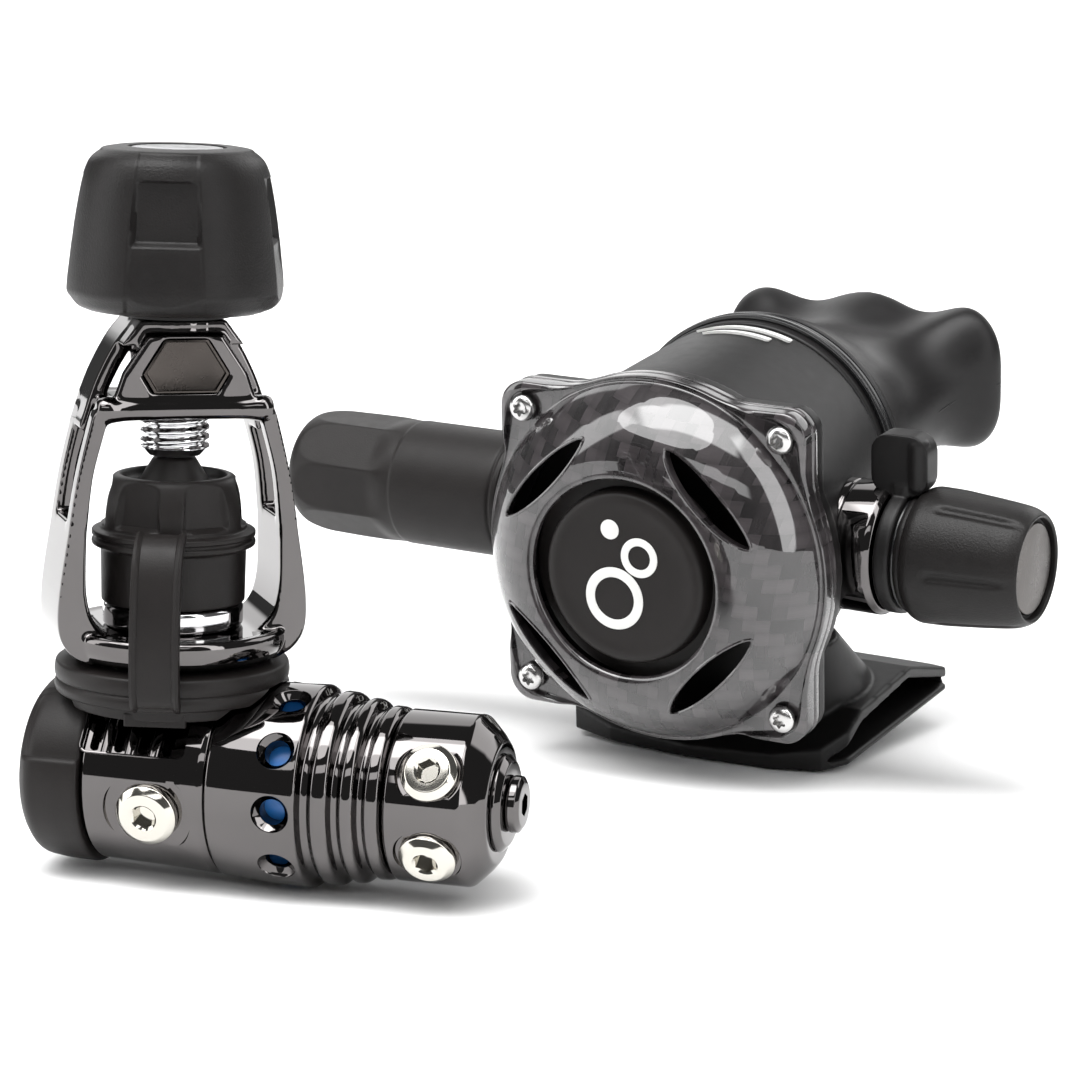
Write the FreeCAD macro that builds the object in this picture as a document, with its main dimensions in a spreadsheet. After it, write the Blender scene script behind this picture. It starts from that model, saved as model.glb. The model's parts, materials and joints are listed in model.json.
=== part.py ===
"""Scuba regulator set: a yoke first stage lying on its side, and an adjustable second stage beside it.

Millimetres, +Z up. The row's origin is the middle of the set's footprint, on the floor.
Each stage is modelled in a frame of its own, and one placement per stage puts it in the row.
First stage:  origin on the floor under the yoke's axis, X along the barrel, Z along the yoke screw.
Second stage: origin at the middle of the front cover's screw plane, X along the valve barrel,
              Y into the case towards the mouthpiece, Z up.
"""
import FreeCAD, Part
import math
import os
import re

import Sketcher
from FreeCAD import Placement, Rotation, Vector

X, Y, Z = Vector(1, 0, 0), Vector(0, 1, 0), Vector(0, 0, 1)

SIZES = [
    # where the two stages lie in the row
    ("first_x", -69.3, "first stage's yoke axis from the middle of the footprint, along X"),
    ("first_y", -106.0, "the same along Y"),
    ("second_x", 76.4, "second stage's origin from the yoke axis, along X"),
    ("second_y", 117.8, "the same along Y"),
    ("second_rise", 52.6, "height of the second stage's origin above the floor"),
    ("second_yaw", -15.2, "second stage's turn about Z"),
    ("second_tilt", 8.4, "lean of its top towards the front"),
    ("second_roll", 1.0, "drop of its right end"),
    # first stage barrel, along X
    ("axis_rise", 21.5, "height of the barrel's axis"),
    ("body_left", -13.4, "left end of the high-pressure body"),
    ("body_right", 14.3, "its seam with the piston cap"),
    ("body_radius", 19.6, "outer radius of the body"),
    ("chamber_radius", 9.5, "high-pressure chamber"),
    ("stem_radius", 4.5, "piston stem"),
    ("wall_left", 9.0, "left face of the wall that guides the stem"),
    ("cap_radius", 21.4, "widest part of the piston cap, which rests on the floor"),
    ("cap_right", 51.4, "right end of the piston cap"),
    ("cylinder_radius", 15.65, "bore the piston head runs in"),
    ("ambient_hole_radius", 2.7, "holes that let water reach the piston"),
    ("ambient_holes_at", 29.2, "their distance from the yoke axis"),
    ("head_left", 40.5, "left face of the piston head"),
    ("running_gap", 0.05, "radial clearance of a running fit"),
    ("protector_left", -28.5, "left end of the rubber end cap"),
    # swivel turret
    ("turret_left", 51.7, "left end of the turret"),
    ("turret_shoulder", 67.9, "where its end cone starts"),
    ("turret_right", 72.4, "its end face"),
    ("turret_radius", 17.9, "outer radius"),
    ("bolt_radius", 6.0, "shank that the turret swivels on"),
    ("bolt_head_radius", 7.2, "its head"),
    ("port_at", 61.2, "distance of the low-pressure ports from the yoke axis"),
    ("port_angle", 29.5, "ports above and below the horizontal"),
    ("port_face", 17.2, "flat around each port, from the barrel's axis"),
    ("hose_hole", 4.25, "3/8-24 UNF port, minor radius"),
    ("plug_radius", 6.0, "head of a port plug"),
    ("plug_head", 2.6, "its thickness"),
    ("socket_flats", 4.0, "hex socket across flats"),
    ("gauge_at", 1.9, "distance of the high-pressure ports from the yoke axis"),
    ("gauge_angle", -13.0, "their angle above the horizontal"),
    ("gauge_face", 18.6, "flat around a high-pressure port, from the barrel's axis"),
    ("gauge_hole", 5.0, "7/16-20 UNF port, minor radius"),
    ("gauge_plug", 6.6, "head of the high-pressure plug"),
    # yoke stack, along Z
    ("boss_radius", 17.3, "round boss that carries the yoke"),
    ("boss_top", 46.8, "its height"),
    ("ring_radius", 24.2, "rubber ring of the dust cap's strap"),
    ("ring_bottom", 37.0, "underside of that ring"),
    ("yoke_turn", 33.0, "turn of the yoke about its axis"),
    ("yoke_bottom", 47.0, "underside of the yoke"),
    ("yoke_floor", 53.4, "top of the yoke's base plate"),
    ("yoke_top", 118.0, "top of the yoke's head"),
    ("head_bottom", 98.5, "underside of the yoke's head"),
    ("yoke_depth", 11.0, "half the yoke's depth, front to back"),
    ("yoke_half", 25.8, "widest half width"),
    ("leg_inner", 20.2, "widest half width of the opening"),
    ("crossbar_top", 101.8, "top of the bars at the foot of the yoke's head"),
    ("plate_back", -8.0, "back of the head's front plate"),
    ("arch_front", -2.0, "front of the arch behind it"),
    ("screw_boss", 9.4, "boss that the yoke screw threads through"),
    ("slot_half", 5.6, "half the depth of the slot through each leg"),
    ("fitting_radius", 10.8, "inlet fitting's shank"),
    ("fitting_flange", 14.6, "its flange"),
    ("fitting_top", 58.5, "top of that flange"),
    ("nozzle_radius", 5.8, "sealing nose"),
    ("screw_radius", 7.3, "yoke screw"),
    ("screw_tip", 89.2, "lower end of the yoke screw"),
    ("dust_flange", 17.0, "flange of the dust cap"),
    ("dust_radius", 15.2, "its dome"),
    ("dust_top", 85.6, "rim of the dished top"),
    ("strap_turn", 12.8, "direction of the strap, from the front towards the right"),
    ("strap_width", 10.0, "width of the strap"),
    ("knob_bottom", 119.4, "underside of the yoke knob"),
    ("knob_rim", 123.6, "its widest height"),
    ("knob_top", 152.8, "its top"),
    ("knob_radius", 23.0, "its widest radius"),
    # second stage
    ("screw_half", 34.0, "cover screws, from the middle, each way"),
    ("cover_radius", 45.0, "round part of the cover and of the case's front"),
    ("ear_half", 40.3, "half the square that its four ears are the corners of"),
    ("cover_back", 5.0, "where the cover meets the case"),
    ("dome_front", -17.0, "foremost line of the cover's dome"),
    ("purge_opening", 24.0, "hole in the cover for the purge button"),
    ("purge_radius", 21.0, "purge button"),
    ("purge_front", -16.0, "its face"),
    ("vent_radius", 30.2, "distance of the cover's four slots from the middle"),
    ("vent_length", 27.0, "their length"),
    ("vent_width", 5.6, "their width"),
    ("barrel_depth", 26.0, "valve barrel's axis behind the screw plane"),
    ("barrel_rise", 1.8, "the same above the middle"),
    ("case_front", 5.2, "front of the case"),
    ("case_back", 50.0, "back of the case"),
    ("case_radius", 43.0, "case behind its front plate"),
    ("back_radius", 37.0, "case at the back"),
    ("back_rise", 8.5, "middle of the back above the middle of the front"),
    ("wall", 2.5, "case wall"),
    ("boss_outer", 15.4, "round side bosses of the case"),
    ("boss_left", -50.0, "end of the left boss"),
    ("boss_right", 37.0, "end of the right boss"),
    ("tube_radius", 9.8, "valve barrel"),
    ("tube_bore", 8.0, "its bore"),
    ("collar_right", 50.3, "end of the trim collar"),
    ("knob_left", 55.6, "start of the adjusting knob"),
    ("knob_right", 86.0, "its end"),
    ("adjust_radius", 16.2, "its widest radius"),
    ("adjust_end", 14.2, "its radius at the end"),
    ("spigot_radius", 33.0, "mouth tube at the back of the case"),
    ("spigot_back", 60.0, "its end"),
    ("mouth_rise", 10.0, "its middle above the front's middle"),
    ("shield_front", 103.0, "front of the mouthpiece's lip shield"),
    ("shield_back", 109.0, "its back"),
    ("shield_rise", 24.5, "its middle above the front's middle"),
    ("tee_bottom", -54.9, "underside of the exhaust tee"),
    ("tee_half", 38.0, "half its width"),
    ("tee_back", 90.0, "back of the exhaust tee"),
    ("sleeve_left", -114.5, "free end of the hose sleeve"),
    ("sleeve_right", -50.6, "its end at the case"),
    ("sleeve_radius", 15.7, "hose sleeve"),
    ("hose_bore", 5.6, "bore that grips the hose"),
]

doc = FreeCAD.newDocument("regulator_set")
sheet = doc.addObject("Spreadsheet::Sheet", "sizes")
for row, (alias, value, meaning) in enumerate(SIZES, start=1):
    sheet.set(f"A{row}", meaning)
    sheet.set(f"B{row}", str(value))
    sheet.setAlias(f"B{row}", alias)
doc.recompute()
size = {alias: value for alias, value, meaning in SIZES}
nodes = {}


# ---------------------------------------------------------------- building blocks
def bound(text):
    """A formula on sheet aliases, written the way the expression engine reads it."""
    def full_name(word):
        return "sizes." + word.group() if word.group() in size else word.group()

    return re.sub(r"[a-z_]+", full_name, text)


def set_sizes(thing, **formulas):
    """Bind properties to formulas; a plain number is set as it is."""
    for name, formula in formulas.items():
        if isinstance(formula, str):
            thing.setExpression(name, bound(formula))
        else:
            setattr(thing, name, formula)


def put_at(thing, at, along=Z, turn=0.0):
    """Stand a thing at a point, its own Z along the given direction, after a turn about its own Z."""
    rotation = Rotation(Z, along).multiply(Rotation(Z, turn))
    thing.Placement = Placement(Vector(0, 0, 0), rotation)
    for axis, place in zip("xyz", at):
        thing.setExpression(f"Placement.Base.{axis}", bound(str(place)))
    return thing


def cylinder(radius, height, at=(0, 0, 0), along=Z):
    thing = doc.addObject("Part::Cylinder", "cylinder")
    set_sizes(thing, Radius=radius, Height=height)
    return put_at(thing, at, along)


def cone(low, high, height, at=(0, 0, 0), along=Z):
    thing = doc.addObject("Part::Cone", "cone")
    set_sizes(thing, Radius1=low, Radius2=high, Height=height)
    return put_at(thing, at, along)


def block(length, width, height, at=(0, 0, 0)):
    thing = doc.addObject("Part::Box", "box")
    set_sizes(thing, Length=length, Width=width, Height=height)
    return put_at(thing, at)


def prism(sides, corner_radius, height, at=(0, 0, 0), along=Z, turn=0.0):
    thing = doc.addObject("Part::Prism", "prism")
    thing.Polygon = sides
    set_sizes(thing, Circumradius=corner_radius, Height=height)
    return put_at(thing, at, along, turn)


def oval(half_x, half_z, y, rise):
    """An upright oval across Y, its wide way along X."""
    thing = doc.addObject("Part::Ellipse", "oval")
    set_sizes(thing, MajorRadius=half_x, MinorRadius=half_z)
    return put_at(thing, (0, y, rise), along=Y)


def loft(sections, ruled=False):
    thing = doc.addObject("Part::Loft", "loft")
    thing.Sections = sections
    thing.Solid = True
    thing.Ruled = ruled
    return thing


def extrude(outline, direction, length):
    thing = doc.addObject("Part::Extrusion", "extrusion")
    thing.Base = outline
    thing.DirMode = "Custom"
    thing.Dir = direction
    thing.Solid = True
    set_sizes(thing, LengthFwd=length)
    return thing


def fuse(*things):
    if len(things) == 1:
        return things[0]
    thing = doc.addObject("Part::MultiFuse", "fusion")
    thing.Shapes = list(things)
    return thing


def cut(base, *tools):
    thing = doc.addObject("Part::Cut", "cut")
    thing.Base = base
    thing.Tool = fuse(*tools)
    return thing


def common(*things):
    thing = doc.addObject("Part::MultiCommon", "common")
    thing.Shapes = list(things)
    return thing


def moved(thing, at=(0, 0, 0), about=Z, angle=0.0):
    """A copy of a thing's shape, turned about an axis through the origin and then shifted."""
    holder = doc.addObject("Part::Compound", "moved")
    holder.Links = [thing]
    holder.Placement = Placement(Vector(*at), Rotation(about, angle))
    return holder


def draw(sketch, outline):
    """Draw a closed outline; each corner's two coordinates are bound to their formulas."""
    count = len(outline)
    turns = [2 * math.pi * i / count for i in range(count)]
    spread = [Vector(math.cos(turn), math.sin(turn), 0) for turn in turns]
    for i in range(count):
        sketch.addGeometry(Part.LineSegment(50 * spread[i], 50 * spread[(i + 1) % count]))
    for i in range(count):
        sketch.addConstraint(Sketcher.Constraint("Coincident", i, 2, (i + 1) % count, 1))
    for i, corner in enumerate(outline):
        for kind, formula, start in zip(("DistanceX", "DistanceY"), corner, 50 * spread[i]):
            index = sketch.addConstraint(Sketcher.Constraint(kind, -1, 1, i, 1, start))
            sketch.setExpression(f"Constraints[{index}]", bound(str(formula)))


def plane_of(body, role):
    return next(item for item in body.Origin.OriginFeatures if item.Role == role)


def lathe(outline, at=(0, 0, 0), along=Z):
    """A turned body: the outline's corners are (radius, height) and it turns about the body's own Z."""
    body = doc.addObject("PartDesign::Body", "turned")
    sketch = body.newObject("Sketcher::SketchObject", "profile")
    sketch.AttachmentSupport = [(plane_of(body, "XZ_Plane"), "")]
    sketch.MapMode = "FlatFace"
    draw(sketch, outline)
    turned = body.newObject("PartDesign::Revolution", "revolution")
    turned.Profile = sketch
    turned.ReferenceAxis = (sketch, ["V_Axis"])
    turned.Angle = 360
    body.Tip = turned
    return put_at(body, at, along)


def slab(outline, low, high, upright=False):
    """A flat plate or, upright, a plate that faces the front, between two heights or depths."""
    sketch = doc.addObject("Sketcher::SketchObject", "outline")
    if upright:
        sketch.Placement = Placement(Vector(0, 0, 0), Rotation(X, 90))
    draw(sketch, outline)
    axis = "y" if upright else "z"
    sketch.setExpression(f"Placement.Base.{axis}", bound(str(low)))
    return extrude(sketch, Y if upright else Z, f"({high}) - ({low})")


def spring(radius, wire, pitch, height, at, along):
    helix = doc.addObject("Part::Helix", "helix")
    set_sizes(helix, Pitch=pitch, Height=height, Radius=radius)
    section = doc.addObject("Part::Circle", "section")
    section.Radius = wire
    section.Placement = Placement(Vector(radius, 0, 0), Rotation(X, 90))
    coil = doc.addObject("Part::Sweep", "coil")
    coil.Sections = [section]
    coil.Spine = (helix, ["Edge1"])
    coil.Solid = True
    coil.Frenet = True
    return put_at(coil, at, along)


def around(thing, count, about, first=0.0, step=None):
    """The same thing repeated round an axis through the origin."""
    step = 360.0 / count if step is None else step
    return fuse(*[moved(thing, about=about, angle=first + i * step) for i in range(count)])


# ---------------------------------------------------------------- the two stages' places
FIRST = Placement(Vector(size["first_x"], size["first_y"], 0), Rotation())
SECOND = FIRST.multiply(
    Placement(
        Vector(size["second_x"], size["second_y"], size["second_rise"]),
        Rotation(Z, size["second_yaw"]).multiply(
            Rotation(Y, size["second_roll"]).multiply(Rotation(X, size["second_tilt"]))
        ),
    )
)
AXIS = Placement(Vector(0, 0, size["axis_rise"]), Rotation())


def node(label, thing, stage):
    """Name a finished sub-part and put it in its stage."""
    holder = doc.addObject("Part::Compound", label)
    holder.Links = [thing]
    holder.Label = label
    holder.Placement = stage
    nodes[label] = holder
    return holder


def barrel_node(label, thing):
    """A first-stage piece that is modelled about the barrel's axis."""
    return node(label, thing, FIRST.multiply(AXIS))


def radial(thing, angle):
    """Aim a piece that is modelled along -Y so that it leaves the barrel at an angle above the front."""
    return moved(thing, about=X, angle=-angle)


# ---------------------------------------------------------------- first stage: barrel, along X
def first_stage_body():
    shell = lathe(
        [
            ("stem_radius + running_gap", "wall_left"), ("stem_radius + running_gap", "body_right"),
            ("body_radius", "body_right"), ("body_radius + 0.6", "body_right - 1"),
            ("body_radius - 0.6", "body_left + 1"), ("body_radius - 1.6", "body_left"),
            ("chamber_radius", "body_left"), ("chamber_radius", "wall_left"),
        ],
        along=X,
    )
    foot = common(
        cylinder("boss_radius", "boss_top - axis_rise - 13", at=(0, 0, 13)),
        block("body_right - body_left", 50, 30, at=("body_left", -25, 8)),
    )
    disc = cylinder("boss_radius", "boss_top - axis_rise - cap_radius - 0.1", at=(0, 0, "cap_radius + 0.1"))
    boss = fuse(foot, disc)
    inlet = cylinder("fitting_radius - 0.8", 40, at=(0, 0, 8))
    port = fuse(
        cylinder("gauge_hole", 14, at=("gauge_at", -8, 0), along=-Y),
        cylinder("gauge_plug + 1.4", 6, at=("gauge_at", "-gauge_face", 0), along=-Y),
    )
    ports = [radial(port, angle) for angle in (size["gauge_angle"], 180 - size["gauge_angle"])]
    fins = [
        radial(block(2.6, 4, 10, at=(x, -21.5, -5)), 38) for x in (-10.3, -4.6, 1.1, 6.8)
    ]
    chamber = cylinder("chamber_radius", "wall_left - body_left", at=("body_left", 0, 0), along=X)
    whole = cut(fuse(shell, cut(boss, chamber)), inlet, *ports, *fins)
    return barrel_node("first_stage_body", whole)


def body_protector():
    outline = [
        (0, "protector_left"), (15.2, "protector_left"), (18.4, "protector_left + 2.6"),
        ("body_radius + 0.2", "body_left - 3"), ("body_radius + 0.2", "body_left - 0.1"),
        (12.8, "body_left - 0.1"), (12.8, "protector_left + 6"), (0, "protector_left + 6"),
    ]
    notch = cylinder("boss_radius + 0.2", 30, at=(0, 0, 10))
    return barrel_node("body_protector", cut(lathe(outline, along=X), notch))


def high_pressure_seat_retainer():
    outline = [
        (0, "body_left - 8"), (12.2, "body_left - 8"), (12.2, "body_left - 0.1"),
        ("chamber_radius - 0.05", "body_left - 0.1"), ("chamber_radius - 0.05", -5.6),
        (5.1, -5.6), (5.1, -7), (0, -7),
    ]
    return barrel_node("high_pressure_seat_retainer", lathe(outline, along=X))


def high_pressure_seat():
    return barrel_node("high_pressure_seat", cylinder(5, 3.2, at=(-7, 0, 0), along=X))


def piston():
    head = cylinder("cylinder_radius - running_gap", 4, at=("head_left", 0, 0), along=X)
    stem = cylinder("stem_radius", "head_left + 2.1", at=(-2, 0, 0), along=X)
    passage = cylinder(1.5, 50, at=(-3, 0, 0), along=X)
    return barrel_node("piston", cut(fuse(head, stem), passage))


def main_spring():
    return barrel_node("main_spring", spring(9.5, 1.3, 4.9, 22.0, at=("body_right + 1.6", 0, 0), along=X))


def insulating_bushing():
    outline = [(14.2, 18.6), (16.0, 18.6), (16.0, 36), (14.2, 36)]
    return barrel_node("insulating_bushing", lathe(outline, along=X))


def piston_cap():
    outline = [
        ("bolt_radius", "cap_right - 4"), ("bolt_radius", "cap_right"), (16.6, "cap_right"),
        (18.0, "cap_right - 1"), (18.0, 48.2), (16.8, 47.6), (16.8, 46.4), (19.1, 45.6), (19.3, 43.4),
        (17.8, 42.6), (17.8, 41.2), (20.1, 40.4), (20.4, 37.6), (18.9, 36.8), (18.9, 35.4),
        ("cap_radius - 0.2", 34.4), ("cap_radius", 24), ("body_radius + 0.9", "body_right + 0.6"),
        ("body_radius", "body_right"), (14.2, "body_right"), (14.2, 18.4), (16.2, 18.4), (16.2, 36.4),
        ("cylinder_radius", 36.6), ("cylinder_radius", "cap_right - 4"),
    ]
    hole = cylinder("ambient_hole_radius", 8, at=("ambient_holes_at", -15.8, 0), along=-Y)
    holes = around(hole, 10, X, first=-4)
    return barrel_node("piston_cap", cut(lathe(outline, along=X), holes))


def turret_bolt():
    shank = cylinder("bolt_radius", 9.9, at=("cap_right - 4", 0, 0), along=X)
    head = cylinder("bolt_head_radius", 3, at=("cap_right + 5.9", 0, 0), along=X)
    passage = cylinder(3, 20, at=("cap_right - 5", 0, 0), along=X)
    return barrel_node("turret_bolt", cut(fuse(shank, head), passage))


# the port that points down and back is the last one, and it stays open
HOSE_PORT_ANGLES = [
    size["port_angle"], -size["port_angle"],
    180 - size["port_angle"], 180 + size["port_angle"],
]


def swivel_turret():
    outline = [
        ("bolt_radius + running_gap", "turret_left"), ("turret_radius - 0.8", "turret_left"),
        ("turret_radius", "turret_left + 0.8"), ("turret_radius", "turret_shoulder"),
        ("turret_radius - 3.4", "turret_right - 1.4"), ("turret_radius - 5.2", "turret_right"),
        (9.35, "turret_right"), (9.35, "turret_left + 5.3"),
        ("bolt_radius + running_gap", "turret_left + 5.3"),
    ]
    hole = cylinder("hose_hole", 12, at=("port_at", -8.6, 0), along=-Y)
    pad = cylinder("plug_radius + 1", 5, at=("port_at", "-port_face", 0), along=-Y)
    tools = [radial(fuse(hole, pad), angle) for angle in HOSE_PORT_ANGLES]
    return barrel_node("swivel_turret", cut(lathe(outline, along=X), *tools))


def port_plug(head_radius, head, stub_radius, stub, at, face):
    """A plug aimed along -Y: a chamfered head with a hex socket, standing on its flat."""
    body = cylinder(stub_radius, stub, at=(at, f"-({face} - {stub})", 0), along=-Y)
    cap = cylinder(head_radius, f"{head} - 0.6", at=(at, f"-{face}", 0), along=-Y)
    rim = cone(head_radius, f"{head_radius} - 0.6", 0.6, at=(at, f"-({face} + {head} - 0.6)", 0), along=-Y)
    depth = 2.4
    bottom = f"-({face} + {head} - {depth})"
    socket = prism(6, "socket_flats / 3 ^ 0.5", depth + 1, at=(at, bottom, 0), along=-Y)
    return cut(fuse(body, cap, rim), socket)


def low_pressure_port_plugs():
    plugs = [
        radial(port_plug("plug_radius", "plug_head", "hose_hole - 0.1", 7, "port_at", "port_face"), angle)
        for angle in HOSE_PORT_ANGLES[:3]
    ]
    return barrel_node("low_pressure_port_plugs", fuse(*plugs))


def turret_end_fitting():
    outline = [
        ("hose_hole + 0.6", 65.2), (9.25, 65.2), (9.25, "turret_right"), (10.2, "turret_right"),
        (10.2, "turret_right + 0.9"), (8.6, "turret_right + 2"), ("hose_hole + 0.6", "turret_right + 2"),
    ]
    return barrel_node("turret_end_fitting", lathe(outline, along=X))


def end_port_plug():
    body = cylinder("hose_hole + 0.5", 9, at=(65.4, 0, 0), along=X)
    head = cylinder("plug_radius", 2, at=("turret_right + 2", 0, 0), along=X)
    rim = cone("plug_radius", "plug_radius - 0.8", 0.8, at=("turret_right + 4", 0, 0), along=X)
    socket = prism(6, "socket_flats / 3 ^ 0.5", 4, at=("turret_right + 2.4", 0, 0), along=X)
    return barrel_node("end_port_plug", cut(fuse(body, head, rim), socket))


def high_pressure_port_plug():
    plug = port_plug("gauge_plug", 3, "gauge_hole - 0.1", 8, "gauge_at", "gauge_face")
    return barrel_node("high_pressure_port_plug", radial(plug, size["gauge_angle"]))


# ---------------------------------------------------------------- first stage: yoke stack, along Z
def first_node(label, thing):
    """A first-stage piece that is modelled about the yoke's axis."""
    return node(label, thing, FIRST)


def inlet_fitting():
    outline = [
        (4.5, 36), ("fitting_radius - 0.9", 36), ("fitting_radius - 0.9", "boss_top"),
        ("fitting_radius", "boss_top"), ("fitting_radius", "yoke_floor + 0.1"),
        ("fitting_flange - 0.6", "yoke_floor + 0.1"), ("fitting_flange", "yoke_floor + 0.7"),
        ("fitting_flange", "fitting_top - 0.8"), ("fitting_flange - 0.8", "fitting_top"),
        ("nozzle_radius", "fitting_top"), ("nozzle_radius", "fitting_top + 3.6"),
        ("nozzle_radius - 0.8", "fitting_top + 4.4"), (4.5, "fitting_top + 4.4"),
    ]
    return first_node("inlet_fitting", lathe(outline))


def inlet_filter():
    outline = [(0, 53), (4.4, 43), (4.4, 41), (0, 41)]
    return first_node("inlet_filter", lathe(outline))


def filter_clip():
    outline = [(3.2, 39.6), (4.45, 39.6), (4.45, 40.8), (3.2, 40.8)]
    return first_node("filter_clip", lathe(outline))


def mirrored(right):
    """A closed outline from its right half, which runs upwards."""
    return right + [(f"-({x})", z) for x, z in reversed(right)]


def yoke_outline():
    """Bowl at the foot, bowed legs, narrow head."""
    return mirrored([
        (19, "yoke_bottom"), (23.4, "yoke_bottom + 2.6"), ("yoke_half", "yoke_bottom + 7"),
        ("yoke_half", "yoke_bottom + 15"), ("yoke_half - 1.6", 73), ("yoke_half - 3.6", 86), ("yoke_half - 6.2", 97),
        ("yoke_half - 8.9", 105), ("yoke_half - 13", 113), ("yoke_half - 17", "yoke_top"),
    ])


def opening_outline():
    """The opening that the tank valve passes through."""
    return mirrored([
        (15.5, "yoke_floor"), ("leg_inner - 1.4", "yoke_floor + 3.5"), ("leg_inner", "yoke_floor + 9"),
        ("leg_inner", 74), ("leg_inner - 1.2", 86), ("leg_inner - 3.2", 94.5), ("leg_inner - 4.6", "head_bottom"),
    ])


def yoke_cuts(side):
    """One side's openings: the slot through the leg, the gap under the arch, and the relief round the plate."""
    def upright(outline, low, high):
        return slab([(f"{side} * ({x})", z) for x, z in outline], low, high, upright=True)

    return [
        upright([(9.5, 76), (30, 76), (30, "head_bottom - 0.5"), (9.5, "head_bottom - 0.5")], "-slot_half", "slot_half"),
        upright(
            [(2, "crossbar_top"), (14.9, "crossbar_top"), (13.6, 105), (11.6, 109), (9.4, 113), (2, 113)],
            "plate_back", "yoke_depth + 1",
        ),
        upright([(2, "crossbar_top"), (30, "crossbar_top"), (30, 113), (2, 113)], "plate_back", "arch_front"),
        upright(
            [(15.4, "crossbar_top"), (30, "crossbar_top"), (30, 119), (7.4, 119), (7.6, 115.2), (12.8, 107.5)],
            "-yoke_depth - 1", "plate_back",
        ),
    ]


def yoke():
    outer = slab(yoke_outline(), "-yoke_depth", "yoke_depth", upright=True)
    opening = slab(opening_outline(), "-yoke_depth - 0.5", "yoke_depth + 0.5", upright=True)
    bowl = lathe([
        (0, "yoke_bottom"), (19.5, "yoke_bottom"), (22.6, "yoke_bottom + 2"), (23.6, "yoke_bottom + 5"),
        (23.6, "yoke_floor"), (0, "yoke_floor"),
    ])
    frame = cut(outer, opening, *yoke_cuts(1), *yoke_cuts(-1))
    boss = cylinder("screw_boss", "yoke_top - head_bottom", at=(0, 0, "head_bottom"))
    screw_hole = cylinder("screw_radius + 0.08", 40, at=(0, 0, "head_bottom - 10"))
    base_hole = cylinder("fitting_radius + 0.1", 20, at=(0, 0, "yoke_bottom - 5"))
    badge_seat = badge_prism(0.0, 1.2)
    whole = cut(fuse(frame, boss, bowl), screw_hole, base_hole, badge_seat)
    return first_node("yoke", moved(whole, about=Z, angle=size["yoke_turn"]))


def badge_prism(inset, depth):
    """The six-sided plate on the front of the yoke's head."""
    corners = [(-4.6, 114.4), (4.6, 114.4), (9.2, 107.2), (6.8, 103.2), (-6.8, 103.2), (-9.2, 107.2)]
    middle = 108.6
    shrink = 1 - inset / 6
    outline = [(x * shrink, middle + (z - middle) * shrink) for x, z in corners]
    return slab(outline, "-yoke_depth - 0.1", f"-yoke_depth + {depth}", upright=True)


def yoke_badge():
    plate = common(badge_prism(0.15, 1.2), block(30, 5, 30, at=(-15, "-yoke_depth + 0.25", 95)))
    return first_node("yoke_badge", moved(plate, about=Z, angle=size["yoke_turn"]))


def strap_frame(thing):
    """Aim a piece that is modelled towards the front at the strap's direction."""
    return moved(thing, about=Z, angle=size["strap_turn"])


def dust_cap():
    outline = [
        (0, "screw_tip - 0.3"), (4.4, "screw_tip - 0.3"), (5.4, "screw_tip - 2.4"), (7.6, "dust_top - 2.4"),
        (10.4, "dust_top - 2.2"), (11, "dust_top"), (13, "dust_top - 0.8"), ("dust_radius - 0.4", 80),
        ("dust_radius", 74.4), ("dust_flange", 73.6), ("dust_flange", 70.6), ("dust_radius - 0.2", 69.8),
        ("dust_radius - 0.2", "fitting_top + 0.1"), (10, "fitting_top + 0.1"), (10, 68), (0, 68),
    ]
    return first_node("dust_cap", lathe(outline))


def dust_cap_strap():
    left, right = "-strap_width / 2", "strap_width / 2"
    band = slab([(left, -29), (right, -29), (right, -10), (left, -10)], 36, 74)
    bow = lathe([
        ("dust_flange + 0.2", 73.4), (19.4, 72.6), (21.8, 69.8), (23.9, 65), (25.8, 58), (26.6, 52),
        (26.4, 46.8),
        ("ring_radius", 44), ("ring_radius", 40), (26.6, 40), (28.6, 46), (29.0, 52), (28.2, 59),
        (26.2, 66), (23.9, 71.4), (21, 74.6), ("dust_flange + 0.2", 75.6),
    ])
    hoop = lathe([
        ("boss_radius + 0.1", "ring_bottom"), (21.4, "ring_bottom"), (21.6, 39.4), ("ring_radius", 39.8),
        ("ring_radius + 0.4", 42.6), ("ring_radius", 46.4), (20.6, 46.8), ("boss_radius + 0.1", 46.8),
    ])
    barrel = cylinder("cap_radius + 0.2", 70, at=(-35, 0, "axis_rise"), along=X)
    return first_node("dust_cap_strap", cut(fuse(hoop, strap_frame(common(band, bow))), barrel))


def yoke_screw():
    shank = cylinder("screw_radius", "knob_bottom + 6 - screw_tip - 1.6", at=(0, 0, "screw_tip + 1.6"))
    tip = cone("screw_radius - 1.6", "screw_radius", 1.6, at=(0, 0, "screw_tip"))
    return first_node("yoke_screw", fuse(shank, tip))


def screw_washer():
    outline = [("screw_radius + 0.3", 118.2), (11.6, 118.2), (11.6, 119.2), ("screw_radius + 0.3", 119.2)]
    return first_node("screw_washer", lathe(outline))


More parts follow.
